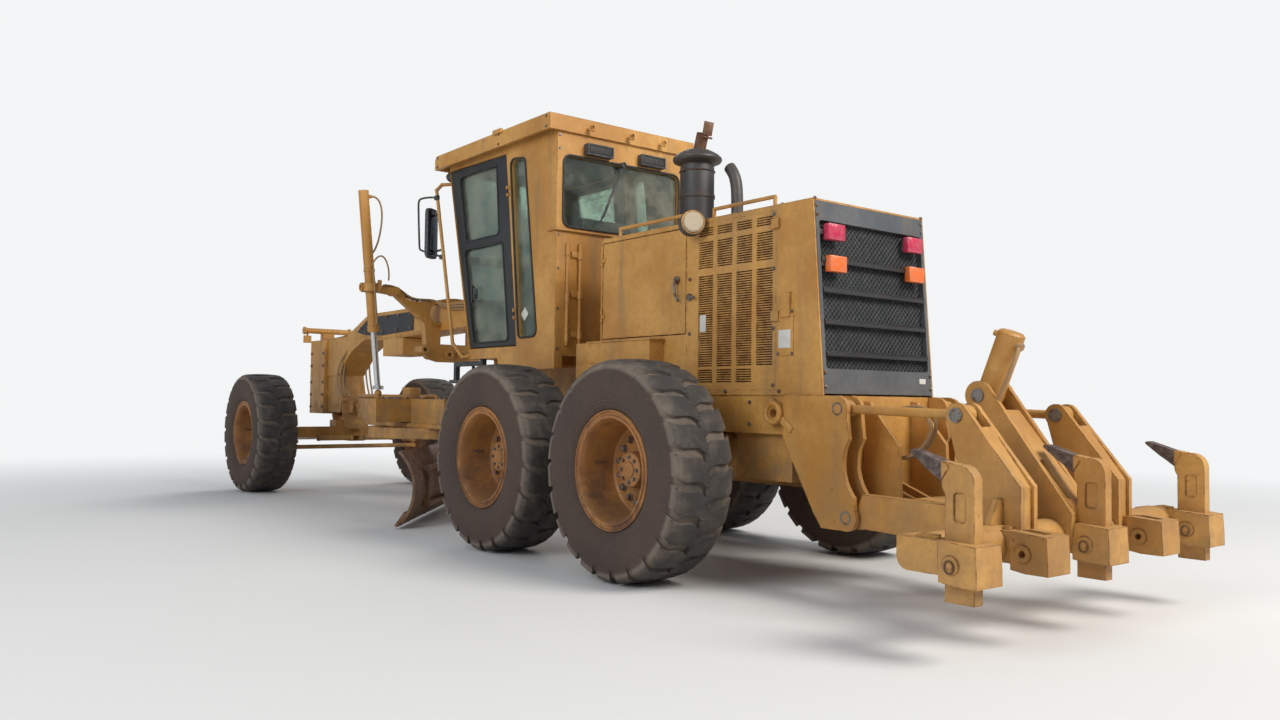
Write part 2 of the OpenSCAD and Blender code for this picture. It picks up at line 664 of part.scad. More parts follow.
module cab_shell() color(paint) placed() {
  w = cab_half_w;
  difference() {
    union() {
      side_plate(-w, w) polygon([[cab_rear_x, cab_sill_z], [cab_floor_front_x, cab_sill_z],
        [cab_top_front_x, roof_bottom_z], [cab_rear_x, roof_bottom_z]]);
      side_plate(-w, w) polygon([[cab_rear_x, 1300], [1520, 1300], [1560, cab_sill_z], [cab_rear_x, cab_sill_z]]);
      box([cab_rear_x - 24, -w - 20, 2332], [cab_rear_x + 100, w + 20, 2346]);
    }
    side_plate(-w + cab_wall, w - cab_wall) polygon([[cab_rear_x + cab_wall, cab_sill_z + 60],
      [cab_floor_front_x - cab_wall, cab_sill_z + 60], [cab_top_front_x - cab_wall, roof_bottom_z + 1],
      [cab_rear_x + cab_wall, roof_bottom_z + 1]]);
    box([cab_rear_x - 1, -w + 70, 1299], [1600, w - 70, cab_sill_z]);
    cross_plate(cab_rear_x - 1, cab_rear_x + cab_wall + 1) soft_box([-560, 2370], [560, 2905], 60);
    side_plate(-w - 1, w + 1) {
      polygon([[1262, 1485], [2012, 1485], [2430, 3060], [1466, 3040]]);
      quarter_pane();
    }
    cab_front_holes();
  }
  both() {
    for (t = cab_hinge_at) for (k = [0, 2]) cab_hinge_barrel(t + k * 30.3, 29.7, 1);
    translate([cab_rear_x - 8, 520, 1475]) cylinder(r = 12, h = 770);
    for (z = [1500, 1800, 2150]) translate([cab_rear_x - 8, 520, z]) cylinder(r = 17, h = 70);
    bar([2168, w + 80, 1540], [2520, w + 80, 2900], 15);
    bar([2168, w + 80, 1540], [2080, w + 30, 1420], 15);
    bar([2080, w + 30, 1420], [2000, w - 10, 1430], 15);
    bar([2520, w + 80, 2900], [2500, w + 40, 2950], 15);
    bar([2500, w + 40, 2950], [2403, w - 70, 2960], 15);
    for (p = [[2168, w + 80, 1540], [2520, w + 80, 2900], [2080, w + 30, 1420], [2500, w + 40, 2950]])
      translate(p) sphere(r = 17);
  }
}

// Outline of the rounded quarter pane behind the door
module quarter_pane() soft([[1028, 1604], [1190, 1600], [1340, 2925], [1222, 2910]], 48);

// Front windows: one above, two low ones beside the steering console
module cab_front_holes() {
  box([1700, -540, 2300], [2500, 540, 3030]);
  both() box([1700, 60, 1560], [2500, 540, 2230]);
}

// Front face of the cab moved back by d, as a wall t thick between two heights
module cab_front_slab(d, t, z0, z1, y0, y1) side_plate(y0, y1) {
  slope = (cab_top_front_x - cab_floor_front_x) / (roof_bottom_z - cab_sill_z);
  x0 = cab_floor_front_x + slope * (z0 - cab_sill_z) - d;
  x1 = cab_floor_front_x + slope * (z1 - cab_sill_z) - d;
  polygon([[x0, z0], [x0 + t, z0], [x1 + t, z1], [x1, z1]]);
}

module cab_roof() color(paint) placed() {
  w = roof_half_w;
  difference() {
    side_plate(-w, w) polygon([[700, roof_bottom_z], [2553, roof_bottom_z], [2553, roof_top_z - 30],
      [2523, roof_top_z], [700, roof_top_z]]);
    side_plate(-w + 30, w - 30) polygon([[730, roof_bottom_z - 1], [2523, roof_bottom_z - 1], [2523, roof_bottom_z + 40],
      [730, roof_bottom_z + 40]]);
  }
  side_plate(-cab_half_w, cab_half_w) polygon([[cab_rear_x, roof_bottom_z], [cab_top_front_x, roof_bottom_z],
    [cab_top_front_x, roof_bottom_z + 41], [cab_rear_x, roof_bottom_z + 41]]);
  for (x = [900, 2300]) for (y = [-1, 1]) difference() {
    box([x - 40, y * (w - 90) - 8, roof_top_z - 1], [x + 40, y * (w - 90) + 8, roof_top_z + 34]);
    pin_y([x, roof_top_z + 15], y * (w - 90) - 9, y * (w - 90) + 9, 10);
  }
}

module cab_glass() color([0.5, 0.65, 0.6, 0.4]) placed() {
  w = cab_half_w;
  cross_plate(cab_rear_x + 20, cab_rear_x + 26) soft_box([-560, 2370], [560, 2905], 60);
  both() {
    side_plate(w - 31, w - 25) quarter_pane();
    cab_front_slab(34, 6, 1560, 2230, 60, 540);
  }
  cab_front_slab(34, 6, 2300, 3030, -540, 540);
}

module cab_interior() color(dark) placed() {
  flat_plate(1460, 1760) soft_box([1010, -200], [1260, 200], 30);
  side_plate(-260, 260) soft([[1030, 1800], [1440, 1800], [1460, 1850], [1030, 1850]], 40);
  side_plate(-240, 240) soft([[1000, 1880], [1070, 1860], [1010, 2470], [960, 2470]], 30);
  both() side_plate(270, 330) soft([[1040, 2010], [1340, 2010], [1340, 2030], [1040, 2030]], 25);
  both() box([1040, 240, 1990], [1090, 280, 2030]);
  side_plate(-140, 140) polygon([[1780, 1460], [1930, 1460], [2010, 2060], [1950, 2200], [1830, 2200]]);
  side_plate(-16, 16) polygon([[1850, 2190], [1900, 2190], [1800, 2330], [1770, 2310]]);
  translate([1785, 0, 2320]) rotate([0, -35, 0]) {
    rotate_extrude() translate([190, 0]) circle(r = 14);
    for (a = [90, 210, 330]) rotate([0, 0, a]) translate([0, -10, -8]) cube([190, 20, 16]);
    translate([0, 0, -20]) cylinder(r = 40, h = 40);
  }
  for (y = [-105:35:105]) if (abs(y) > 40) {
    bar([1900, y, 2195], [1890, y, 2330], 5);
    translate([1890, y, 2340]) sphere(r = 14);
  }
  for (y = [-150, 150]) bar([1850, y * 0.6, 1470], [1800, y * 0.9, 1560], 12);
}

// Black fittings of the cab: rear lamps, mirrors on their arms and the valve bracket by each step
module cab_trim() color(dark) placed() both() {
  w = cab_half_w;
  difference() {
    box([cab_rear_x - 60, 140, 2930], [cab_rear_x, 378, 3014]);
    box([cab_rear_x - 61, 150, 2940], [cab_rear_x - 52, 368, 3004]);
  }
  translate([2560, w + 90, 2520]) rotate([0, 0, 35]) cross_plate(0, 30) soft_box([-90, -220], [90, 220], 50);
  for (z = [2360, 2680]) bar([2575, w + 80, z], [2168 + 0.2588 * (z - 1540) + 21, w + 80, z], 10);
  box([1830, 560, 1345], [2330, 600, 1385]);
  box([1830, 560, 1270], [1870, 600, 1400]);
  box([2290, 560, 1200], [2330, 600, 1385]);
  for (z = [1200]) box([1990, 520, z], [2330, 640, z + 30]);
  box([1990, 580, 1200], [2010, 600, 1386]);
}

module cab_door() color(dark) placed() {
  difference() {
    side_plate(cab_half_w - 50, cab_half_w - 5) polygon([[1268, 1496], [2006, 1496], [2419, 3050], [1472, 3033]]);
    side_plate(cab_half_w - 60, cab_half_w + 5) door_panes();
  }
  for (t = cab_hinge_at) cab_hinge_barrel(t + 30.3, 30, -1);
  for (z = [1885, 2005]) pin_y([1960, z], cab_half_w - 10, cab_half_w + 16, 7);
  translate([1960, cab_half_w + 18, 1870]) cylinder(r = 10, h = 150);
}

// Point on the cab door's slanted hinge axis, counted up along it
function hinge_point(t) = [1268, cab_half_w + 8, 1496] + t * cab_door_axis;

// One knuckle of a cab door's hinge and its leaf; side is 1 on the cab and -1 on the door
module cab_hinge_barrel(t, len, side) {
  p = hinge_point(t);
  bar(p, hinge_point(t + len), 8);
  box([p[0] - (side > 0 ? 26 : 0), cab_half_w - (side > 0 ? 1 : 6), p[2] + 8],
    [p[0] + (side > 0 ? 0 : 26), p[1], p[2] + len - 8]);
}

// Openings of the door's upper and lower pane
module door_panes() {
  soft([[1610, 2440], [2090, 2440], [2215, 2945], [1660, 2945]], 34);
  soft([[1440, 1570], [1930, 1570], [2105, 2300], [1545, 2300]], 34);
}

module door_glass() color([0.5, 0.65, 0.6, 0.4]) placed() side_plate(cab_half_w - 31, cab_half_w - 25) door_panes();

module cab_door_left() cab_door();
module cab_door_right() mirror([0, 1, 0]) cab_door();
module door_glass_left() door_glass();
module door_glass_right() mirror([0, 1, 0]) door_glass();

module drawbar() color(paint) placed() {
  flat_plate(830, 1062) difference() {
    polygon([[circle_x - 860, -480], [circle_x - 860, 480], [4350, 480], [ball_x - 60, 60], [ball_x - 60, -60],
      [4350, -480]]);
    polygon([[circle_x - 700, -390], [circle_x - 700, 390], [4280, 390], [5150, 0], [4280, -390]]);
  }
  flat_plate(circle_top_z + 0.3, 830) difference() {
    polygon([[circle_x - 880, -510], [circle_x - 880, 510], [4360, 510], [5300, 150], [5300, -150], [4360, -510]]);
    polygon([[circle_x - 680, -380], [circle_x - 680, 380], [4260, 380], [5000, 0], [4260, -380]]);
  }
  both() {
    box([lift_x - 90, 390, 840], [lift_x + 90, 830, 1062]);
    side_plate(480, 492) polygon([[3800, 880], [4180, 880], [4180, 1010], [3800, 1010]]);
    for (a = circle_shoe_at) rotate_about_circle(a) {
      box([circle_r + 0.3, -70, circle_bottom_z + 5], [circle_r + 40, 70, circle_top_z + 60]);
      box([circle_r - 150, -70, circle_top_z + 0.3], [circle_r + 40, 70, circle_top_z + 60]);
    }
    bar([4500, 330, 1085], [5500, 120, 1085], 22);
    bar([4600, 280, 1080], [5560, 60, 1070], 12);
  }
  box([ball_x - 90, -40, 900], [ball_x - 30, 40, 1010]);
  translate([ball_x, 0, ball_z]) sphere(r = ball_r);
  translate([4420, 0, 830]) cylinder(r = 150, h = 232);
  box([4262, -150, 830], [4420, 150, 870]);
  translate([4420, 0, 1061]) cylinder(r = 95, h = 120);
  both() translate([lift_x, rod_end_y, 1061]) {
    cylinder(r = 26, h = 30);
    translate([0, 0, rod_end_z - 1061]) sphere(r = rod_ball_r);
  }
}

// Turned about the circle's axis, with X pointing outward
module rotate_about_circle(a) translate([circle_x, 0, 0]) rotate([0, 0, a]) children();

module circle_shape() flat_plate(circle_bottom_z, circle_top_z) translate([circle_x, 0]) difference() {
  circle(r = circle_r);
  circle(r = circle_r - 95);
  for (i = [0:circle_teeth - 1]) rotate(i * 360 / circle_teeth)
    translate([circle_r - 96, -circle_r * 1.55 / circle_teeth]) square([26, circle_r * 3.1 / circle_teeth]);
}

// Outline of the blade's curved plate in the blade's own X and Z
module blade_section() {
  intersection() {
    difference() {
      circle(r = blade_r + blade_t);
      circle(r = blade_r);
    }
    polygon([[0, 0], 700 * [-cos(46), sin(46)], [-900, 0], 700 * [-cos(40), -sin(40)]]);
  }
}

module blade_frame() translate([circle_x, 0, 0]) rotate([0, 0, blade_turn]) children();

module turn_circle() color(paint) placed() {
  circle_shape();
  blade_frame() both() difference() {
    side_plate(560, 600) {
      polygon([[-500, circle_bottom_z + 5], [-340, circle_bottom_z + 5], [-275, 460], [-235, 260],
        tip_pin + [15, 35], tip_pin, tip_pin + [-40, -10], [-400, 420]]);
      translate(tip_pin) circle(r = 42);
    }
    pin_y(tip_pin, 559, 601, 20.3);
  }
}

module blade_carrier() color(paint) placed() blade_frame() both() {
  difference() {
    side_plate(603, 640) polygon([[-240, 130], [-240, 530], [-60, 530], [-60, 130]]);
    translate([blade_arc_x, 0, blade_arc_z]) rotate([90, 0, 0]) cylinder(r = blade_r + blade_t + 1.5, h = 1400, center = true);
    for (z = rail_z) box([-155, 600, z - 1], [0, 650, z + 36]);
  }
  pin_y(tip_pin, 556, 604, 20);
}

module blade() color(paint) placed() blade_frame() {
  side_plate(-blade_len / 2, blade_len / 2) translate([blade_arc_x, blade_arc_z]) blade_section();
  side_plate(-blade_len / 2, blade_len / 2) polygon([[-51, 124], [22, blade_bottom_z], [44, blade_bottom_z + 12],
    [-30, 138]]);
  for (z = rail_z) box([-154, -1450, z], [-80, 1450, z + 35]);
  for (y = [-1450, -15, 1420]) side_plate(y, y + 30) difference() {
    polygon([[-150, 151], [-60, 151], [-60, 470], [-150, 470]]);
    translate([blade_arc_x, blade_arc_z]) circle(r = blade_r + 4);
  }
}

module lift_tilt() translate([lift_x, yoke_y, yoke_z])
  rotate([atan((yoke_y - rod_end_y) / (yoke_z - rod_end_z)) * -1, 0, 0]) children();

module lift_barrel() color(paint) placed() difference() {
  union() {
    lift_tilt() {
      translate([0, 0, -415]) cylinder(r = lift_barrel_r, h = 1330);
      translate([0, 0, -420]) cylinder(r = lift_barrel_r + 7, h = 60);
      translate([0, 0, 150]) cylinder(r = lift_barrel_r + 5, h = 25);
      translate([0, 0, -45]) cylinder(r = lift_barrel_r + 5, h = 90);
      translate([0, -lift_barrel_r, 860]) rotate([90, 0, 0]) cylinder(r = 16, h = 30);
    }
    translate([lift_x, yoke_y, yoke_z]) rotate([90, 0, 0]) cylinder(r = yoke_pin_r, h = 170, center = true);
  }
  lift_tilt() translate([0, 0, -421]) cylinder(r = lift_rod_r + 10, h = 1310);
}

// The rod's end rests on the drawbar's ball, which stays free to move under it
module lift_rod() color(steel) placed() {
  lift_tilt() translate([0, 0, -955]) cylinder(r = lift_rod_r, h = 1085);
  translate([lift_x, rod_end_y, rod_end_z + rod_ball_r + fit]) cylinder(r = 50, h = 36);
}

module lift_barrel_left() lift_barrel();
module lift_barrel_right() mirror([0, 1, 0]) lift_barrel();
module lift_rod_left() lift_rod();
module lift_rod_right() mirror([0, 1, 0]) lift_rod();

module ripper_frame() color(paint) placed() {
  both() {
    difference() {
      side_plate(ripper_link_y - 30, ripper_link_y + 30) union() {
        translate(lower_front_pin) circle(r = 58);
        translate(lower_rear_pin) circle(r = 58);
        polygon([lower_front_pin + [0, -50], lower_front_pin + [-80, 130], lower_rear_pin + [120, 140],
          lower_rear_pin + [0, 57], lower_rear_pin + [0, -50]]);
      }
      pin_y(lower_front_pin, 400, 500, ripper_pin_r + 0.3);
      pin_y(lower_rear_pin, 400, 500, ripper_pin_r + 0.3);
    }
    side_plate(118, 372) polygon([[-2330, 430], [-2330, 590], [-2600, 575], [-2620, 560], [-2620, 420]]);
    side_plate(371, ripper_link_y - 29) polygon([[-2330, 430], [-2330, 590], [-2560, 580], [-2560, 430]]);
  }
  box([-2620, -119, 420], [-2540, 119, 500]);
}

module ripper_links() color(paint) placed() both() difference() {
  union() {
    bar([upper_front_pin[0], ripper_link_y, upper_front_pin[1]], [upper_rear_pin[0], ripper_link_y, upper_rear_pin[1]], 24);
    for (p = [upper_front_pin, upper_rear_pin]) pin_y(p, ripper_link_y - 30, ripper_link_y + 30, 50);
  }
  for (p = [upper_front_pin, upper_rear_pin]) pin_y(p, ripper_link_y - 40, ripper_link_y + 40, ripper_pin_r + 0.3);
}

module ripper_carriage() color(paint) placed() {
  both() {
    for (y = [ripper_link_y - 70, ripper_link_y + 40]) side_plate(y, y + 30) side_tower_outline();
    side_plate(ripper_link_y - 41, ripper_link_y + 41) polygon([[-2748, 960], [-2760, 968], [-2964, 694],
      [-2964, ripper_beam_z], [-2944, ripper_beam_z], [-2944, 700]]);
    for (p = [upper_rear_pin, lower_rear_pin]) pin_y(p, ripper_link_y - 75, ripper_link_y + 75, ripper_pin_r);
    difference() {
      side_plate(80, 110) union() {
        polygon([ripper_trunnion + [72, -20], ripper_trunnion + [-45, 62], [-2998, 557], [-2990, ripper_beam_z - 40],
          [-2840, ripper_beam_z - 40], [-2705, 440]]);
        translate(ripper_trunnion) circle(r = 75);
      }
      pin_y(ripper_trunnion, 70, 120, ripper_pin_r + 0.3);
    }
    cross_plate(-2890, -2860) polygon([[ripper_link_y + 70, 500], [ripper_link_y + 70, 640], [ripper_link_y + 110, 640],
      [ripper_link_y + 190, 500]]);
  }
  difference() {
    side_plate(-81, 81) polygon([[-2600, 1040], [-2612, 1048], [-2980, 590], [-2980, 500], [-2962, 500], [-2962, 584]]);
    box([-2950, 34, 590], [-2780, 68, 800]);
  }
  difference() {
    union() {
      bar([ripper_tube_x, -1100, ripper_beam_z], [ripper_tube_x, 1100, ripper_beam_z], 85);
      for (i = [-2:2]) translate([0, i * pocket_pitch, 0]) shank_pocket();
    }
    for (i = [-2:2]) translate([0, i * pocket_pitch, 0]) {
      box([shank_rear_x, -30.3, 200], [shank_front_x + 0.3, 30.3, 600]);
      pin_y(pocket_pin, -120, 120, pocket_pin_r + 0.3);
    }
  }
  for (i = [-2, 0, 2]) pin_y(pocket_pin, i * pocket_pitch - 104, i * pocket_pitch + 104, pocket_pin_r);
}

// Outline of one plate of a side tower
module side_tower_outline() union() {
  polygon([upper_rear_pin + [50, -25], upper_rear_pin + [-40, 45], [-2979, 699], [-2979, ripper_beam_z],
    lower_rear_pin + [0, -55], lower_rear_pin + [55, 10], [-2690, 560], [-2650, 780]]);
  translate(upper_rear_pin) circle(r = 60);
  translate(lower_rear_pin) circle(r = 60);
}

// Housing that carries one ripper shank
module shank_pocket() {
  side_plate(-78, 78) {
    polygon([[-2770, 509], [-3000, 509], [-3000, 365], [-2828, 365], [-2770, 423]]);
    translate([-2828, 423]) circle(r = 58);
  }
  side_plate(-92, 92) polygon([[-2990, 340], [-2985, 500], [-3010, 512], [rear_end_x + 6, 500], [rear_end_x, 390],
    [rear_end_x, 330], [-3060, 330]]);
  for (y = [-92, 92]) pin_y(pocket_pin, y - 8, y + 8, 40);
  translate([-2940, 30, 505]) cylinder(r = 18, h = 20);
}

module ripper_barrel() color(paint) placed() difference() {
  ripper_tilt() {
    translate([0, 0, -300]) cylinder(r = ripper_barrel_r, h = 644);
    translate([0, 0, 343]) cylinder(r1 = ripper_barrel_r, r2 = ripper_barrel_r - 12, h = 12);
    translate([0, 0, -305]) cylinder(r = ripper_barrel_r + 6, h = 50);
    rotate([90, 0, 0]) cylinder(r = ripper_pin_r + 14, h = 158, center = true);
    rotate([90, 0, 0]) cylinder(r = ripper_pin_r, h = 216, center = true);
    translate([20, 0, 318]) rotate([0, 90, 0]) cylinder(r = 16, h = 75);
  }
  ripper_tilt() translate([0, 0, -306]) cylinder(r = 42, h = 619);
}

// Axis of the ripper cylinder
module ripper_tilt() translate([ripper_trunnion[0], 0, ripper_trunnion[1]])
  rotate([0, -atan2(-rod_axis[0], rod_axis[1]), 0]) children();

// The rod carries its own pin, free between the lugs of the rear frame
module ripper_rod() color(steel) placed() ripper_tilt() {
  translate([0, 0, -rod_len]) cylinder(r = 32, h = rod_len + 112);
  translate([0, 0, -rod_len]) rotate([90, 0, 0]) {
    cylinder(r = 60, h = 96, center = true);
    cylinder(r = ripper_pin_r, h = 105, center = true);
  }
}

module shanks() color(paint) placed() for (i = [-2, 0, 2]) translate([0, i * pocket_pitch, 0]) difference() {
  union() {
    side_plate(-30, 30) {
      polygon([[shank_rear_x, 250], [shank_front_x, 250], [shank_front_x, 700], [-2965, 745], [-2890, 800],
        [-2960, 835], [-3020, 825], [shank_rear_x, 745]]);
      translate([shank_rear_x + 78, 745]) circle(r = 78);
    }
    side_plate(-36, 36) polygon([[-2962, 752], [-2890, 800], [-2812, 862], [-2808, 872], [-2820, 878], [-2996, 822],
      [-3000, 808]]);
  }
  pin_y(pocket_pin, -40, 40, pocket_pin_r + 0.3);
  both() side_plate(22, 31) soft([[-3062, 600], [-3038, 600], [-3038, 690], [-3062, 690]], 16);
}

rear_frame();
tandem();
hood();
engine();
grille_frame();
grille_mesh();
tail_lamps();
stack();
side_tanks();
engine_door_left();
engine_door_right();
louvre_panel_left();
louvre_panel_right();
tyre(0);  // tyre_rl
tyre(1);  // tyre_rr
tyre(2);  // tyre_ml
tyre(3);  // tyre_mr
tyre(4);  // tyre_fl
tyre(5);  // tyre_fr
rim(0);  // rim_rl
rim(1);  // rim_rr
rim(2);  // rim_ml
rim(3);  // rim_mr
rim(4);  // rim_fl
rim(5);  // rim_fr
front_frame();
front_axle();
beam_panels();
lift_arms();
cab_shell();
cab_roof();
cab_glass();
cab_interior();
cab_trim();
cab_door_left();
cab_door_right();
door_glass_left();
door_glass_right();
knuckle_left();
knuckle_right();
tie_rod();
steer_barrel_left();
steer_barrel_right();
steer_rod_left();
steer_rod_right();
drawbar();
turn_circle();
blade_carrier();
blade();
lift_barrel_left();
lift_barrel_right();
lift_rod_left();
lift_rod_right();
ripper_frame();
ripper_links();
ripper_carriage();
ripper_barrel();
ripper_rod();
shanks();
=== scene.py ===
"""Looks of the motor grader: finishes of its CAD nodes, small fittings, lamps, hoses, camera and studio."""
import math

import bmesh
import bpy
from mathutils import Matrix, Vector


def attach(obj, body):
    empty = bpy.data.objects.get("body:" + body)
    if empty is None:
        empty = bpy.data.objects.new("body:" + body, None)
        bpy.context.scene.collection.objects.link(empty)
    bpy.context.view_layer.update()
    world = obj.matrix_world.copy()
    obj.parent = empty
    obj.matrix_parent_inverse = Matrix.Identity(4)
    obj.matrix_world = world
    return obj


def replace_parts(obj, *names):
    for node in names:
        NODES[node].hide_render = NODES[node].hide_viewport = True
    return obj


bl_info = {
    "name": "Motor grader finishes",
    "version": (1, 0, 0),
    "blender": (4, 5, 0),
    "location": "View3D > Sidebar > Grader",
    "description": "Paint, tyres, fittings, hoses and studio of a used motor grader",
    "category": "Object",
}

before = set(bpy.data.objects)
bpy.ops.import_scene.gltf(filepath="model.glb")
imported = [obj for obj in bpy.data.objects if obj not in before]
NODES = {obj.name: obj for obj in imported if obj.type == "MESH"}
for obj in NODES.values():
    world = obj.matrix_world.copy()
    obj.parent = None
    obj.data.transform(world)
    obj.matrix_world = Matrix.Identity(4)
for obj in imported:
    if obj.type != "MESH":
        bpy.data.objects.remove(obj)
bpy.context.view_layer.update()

# The source's lengths start under the tandem, this frame's at the middle of the machine
TANDEM_X = -1.8675
TANDEM_PITCH = 1.521
WHEELBASE = 6.09
TYRE_R = 0.66
LUGS = 22
TOW = (-1.440, 1.010)
REAR_TRACK = 1.010
FRONT_TRACK = 1.040
SIDES = ((1, "left"), (-1, "right"))
HOOD_Y = 0.50
HOOD_TOP = 2.222
HOOD_REAR = -1.782
HOOD_LEAN = 0.082 / 1.11
HOOD_FOOT = 1.112
CAB_Y = 0.62
SHANK_TIP_X = -2.972
LIFT_X = 3.50
YOKE = (0.875, 2.105)
ROD_END = (0.776, 1.112)
CIRCLE_X = 3.58
BLADE_TURN = math.radians(51)
RIPPER_EYE = (-2.490, 1.120)
RIPPER_FOOT = (-2.220, 0.450)
POCKET_PITCH = 0.533
LENS_MM = 28.263
CAMERA_AT = (-7.3705, 4.709, 1.071)
WHEELS = {
    "wheel_rl": (-TANDEM_PITCH / 2, REAR_TRACK, "tyre_rl", "rim_rl"),
    "wheel_rr": (-TANDEM_PITCH / 2, -REAR_TRACK, "tyre_rr", "rim_rr"),
    "wheel_ml": (TANDEM_PITCH / 2, REAR_TRACK, "tyre_ml", "rim_ml"),
    "wheel_mr": (TANDEM_PITCH / 2, -REAR_TRACK, "tyre_mr", "rim_mr"),
    "wheel_fl": (WHEELBASE, FRONT_TRACK, "tyre_fl", "rim_fl"),
    "wheel_fr": (WHEELBASE, -FRONT_TRACK, "tyre_fr", "rim_fr"),
}


def at(x, y, z):
    """A point measured from under the tandem, in this frame."""
    return Vector((x + TANDEM_X, y, z))


def hood_rear(z):
    """Where the hood's leaning rear face stands at a height."""
    return HOOD_REAR + HOOD_LEAN * (z - HOOD_FOOT)


# Materials


class Finish:
    """A node material, built one node at a time."""

    def __init__(self, name):
        self.material = bpy.data.materials.new(name)
        self.material.use_nodes = True
        self.tree = self.material.node_tree
        self.tree.nodes.clear()
        self.output = self.add("OutputMaterial")
        self.shader = self.add("BsdfPrincipled")
        self.put(self.output.inputs[0], self.shader.outputs[0])
        self.place = self.add("TexCoord").outputs["Object"]

    def add(self, kind, values=(), **settings):
        """A node of a kind with its settings, and with the values or links of its inputs."""
        node = self.tree.nodes.new("ShaderNode" + kind)
        for key, value in settings.items():
            setattr(node, key, value)
        for key, value in dict(values).items():
            self.put(node.inputs[key], value)
        return node

    def put(self, socket, value):
        if isinstance(value, bpy.types.NodeSocket):
            self.tree.links.new(value, socket)
        else:
            socket.default_value = value

    def set(self, **values):
        for key, value in values.items():
            self.put(self.shader.inputs[key.replace("_", " ")], value)

    def mapping(self, scale=(1, 1, 1), location=(0, 0, 0)):
        return self.add("Mapping", {"Scale": scale, "Location": location, "Vector": self.place}).outputs[0]

    def noise(self, scale, detail=5.0, rough=0.6, stretch=(1, 1, 1), shift=(0, 0, 0)):
        values = {
            "Scale": scale, "Detail": detail, "Roughness": rough, "Vector": self.mapping(stretch, shift),
        }
        return self.add("TexNoise", values).outputs["Fac"]

    def band(self, value, low, high, out_low=0.0, out_high=1.0):
        values = {"Value": value, "From Min": low, "From Max": high, "To Min": out_low, "To Max": out_high}
        return self.add("MapRange", values, interpolation_type="SMOOTHSTEP").outputs["Result"]

    def math(self, how, a, b=0.0):
        return self.add("Math", {0: a, 1: b}, operation=how).outputs[0]

    def mix(self, factor, a, b):
        return self.add("Mix", {"Factor": factor, "A": a, "B": b}, data_type="RGBA").outputs["Result"]

    def blend(self, factor, a, b):
        """Two shaders mixed by a factor."""
        return self.add("MixShader", {0: factor, 1: a, 2: b}).outputs[0]

    def axis(self, name, source=None):
        return self.add("SeparateXYZ", {0: self.place if source is None else source}).outputs[name]

    def upward(self):
        return self.axis("Z", self.add("NewGeometry").outputs["Normal"])

    def edges(self, radius):
        """0 on flat faces, 1 along worn edges."""
        bevel = self.add("Bevel", {"Radius": radius}, samples=4).outputs[0]
        flat = self.add("NewGeometry").outputs["Normal"]
        dot = self.add("VectorMath", {0: bevel, 1: flat}, operation="DOT_PRODUCT").outputs["Value"]
        return self.band(dot, 0.985, 0.80)

    def bump(self, height, strength, distance):
        values = {"Strength": strength, "Distance": distance, "Height": height}
        self.put(self.shader.inputs["Normal"], self.add("Bump", values).outputs[0])


def rgb(colour):
    return (colour[0], colour[1], colour[2], 1.0)


def painted(name, base, faded, dirt, rust, wear=1.0, dust=1.0, low=0.55, high=1.45, tip=None):
    """Old paint: faded in clouds, dusty low down and on top, rusty at edges; worn steel past tip."""
    f = Finish(name)
    clouds = f.band(f.noise(1.7, 6, 0.62), 0.36, 0.66)
    colour = f.mix(clouds, rgb(base), rgb(faded))
    fine = f.band(f.noise(22, 6, 0.7, shift=(3, 1, 7)), 0.38, 0.72, 0.0, 0.35)
    colour = f.mix(fine, colour, rgb([c * 0.72 for c in base]))
    runs = f.band(f.noise(5.5, 5, 0.66, (1, 1, 0.12), (9, 4, 0)), 0.50, 0.74, 0.0, 0.55 * dust)
    colour = f.mix(runs, colour, rgb(dirt))
    depth = f.band(f.axis("Z"), high, low)
    cloudy = f.band(f.noise(6.5, 6, 0.7, shift=(2, 8, 3)), 0.30, 0.68)
    low_dirt = f.math("MULTIPLY", f.math("MULTIPLY", depth, cloudy), 0.85 * dust)
    colour = f.mix(low_dirt, colour, rgb(dirt))
    top = f.math(
        "MULTIPLY", f.band(f.upward(), 0.55, 0.95), f.band(f.noise(9, 5, 0.65), 0.3, 0.62, 0.25, 0.85 * dust),
    )
    colour = f.mix(top, colour, rgb([0.6 * d + 0.4 * c for d, c in zip(dirt, faded)]))
    chips = f.band(f.noise(34, 8, 0.72, shift=(5, 5, 5)), 0.67 - 0.03 * wear, 0.71 - 0.03 * wear)
    patches = f.band(f.noise(3.1, 4, 0.6, shift=(1, 6, 2)), 0.45, 0.62)
    chips = f.math("MULTIPLY", chips, patches)
    edge = f.math(
        "MULTIPLY", f.edges(0.011), f.band(f.noise(14, 6, 0.7, shift=(4, 2, 9)), 0.44, 0.58, 0.0, 0.9 * wear),
    )
    rusty = f.math("MAXIMUM", chips, edge)
    colour = f.mix(rusty, colour, f.mix(f.noise(60, 4), rgb(rust), rgb([c * 0.45 for c in rust])))
    if tip is not None:
        steel = f.mix(f.band(f.noise(26, 6, 0.7), 0.35, 0.7), (0.050, 0.028, 0.022, 1), (
            0.17, 0.125, 0.105, 1,
        ))
        colour = f.mix(f.band(f.axis("X"), tip, tip + 0.012), colour, steel)
    f.set(Base_Color=colour)
    worn = f.math("MAXIMUM", rusty, f.math("MAXIMUM", low_dirt, top))
    f.set(Roughness=f.band(worn, 0.0, 1.0, 0.50, 0.92))
    rough = f.math("ADD", f.noise(130, 4, 0.6), f.math("MULTIPLY", rusty, -1.4))
    f.bump(rough, 0.22, 0.0012)
    return f.material


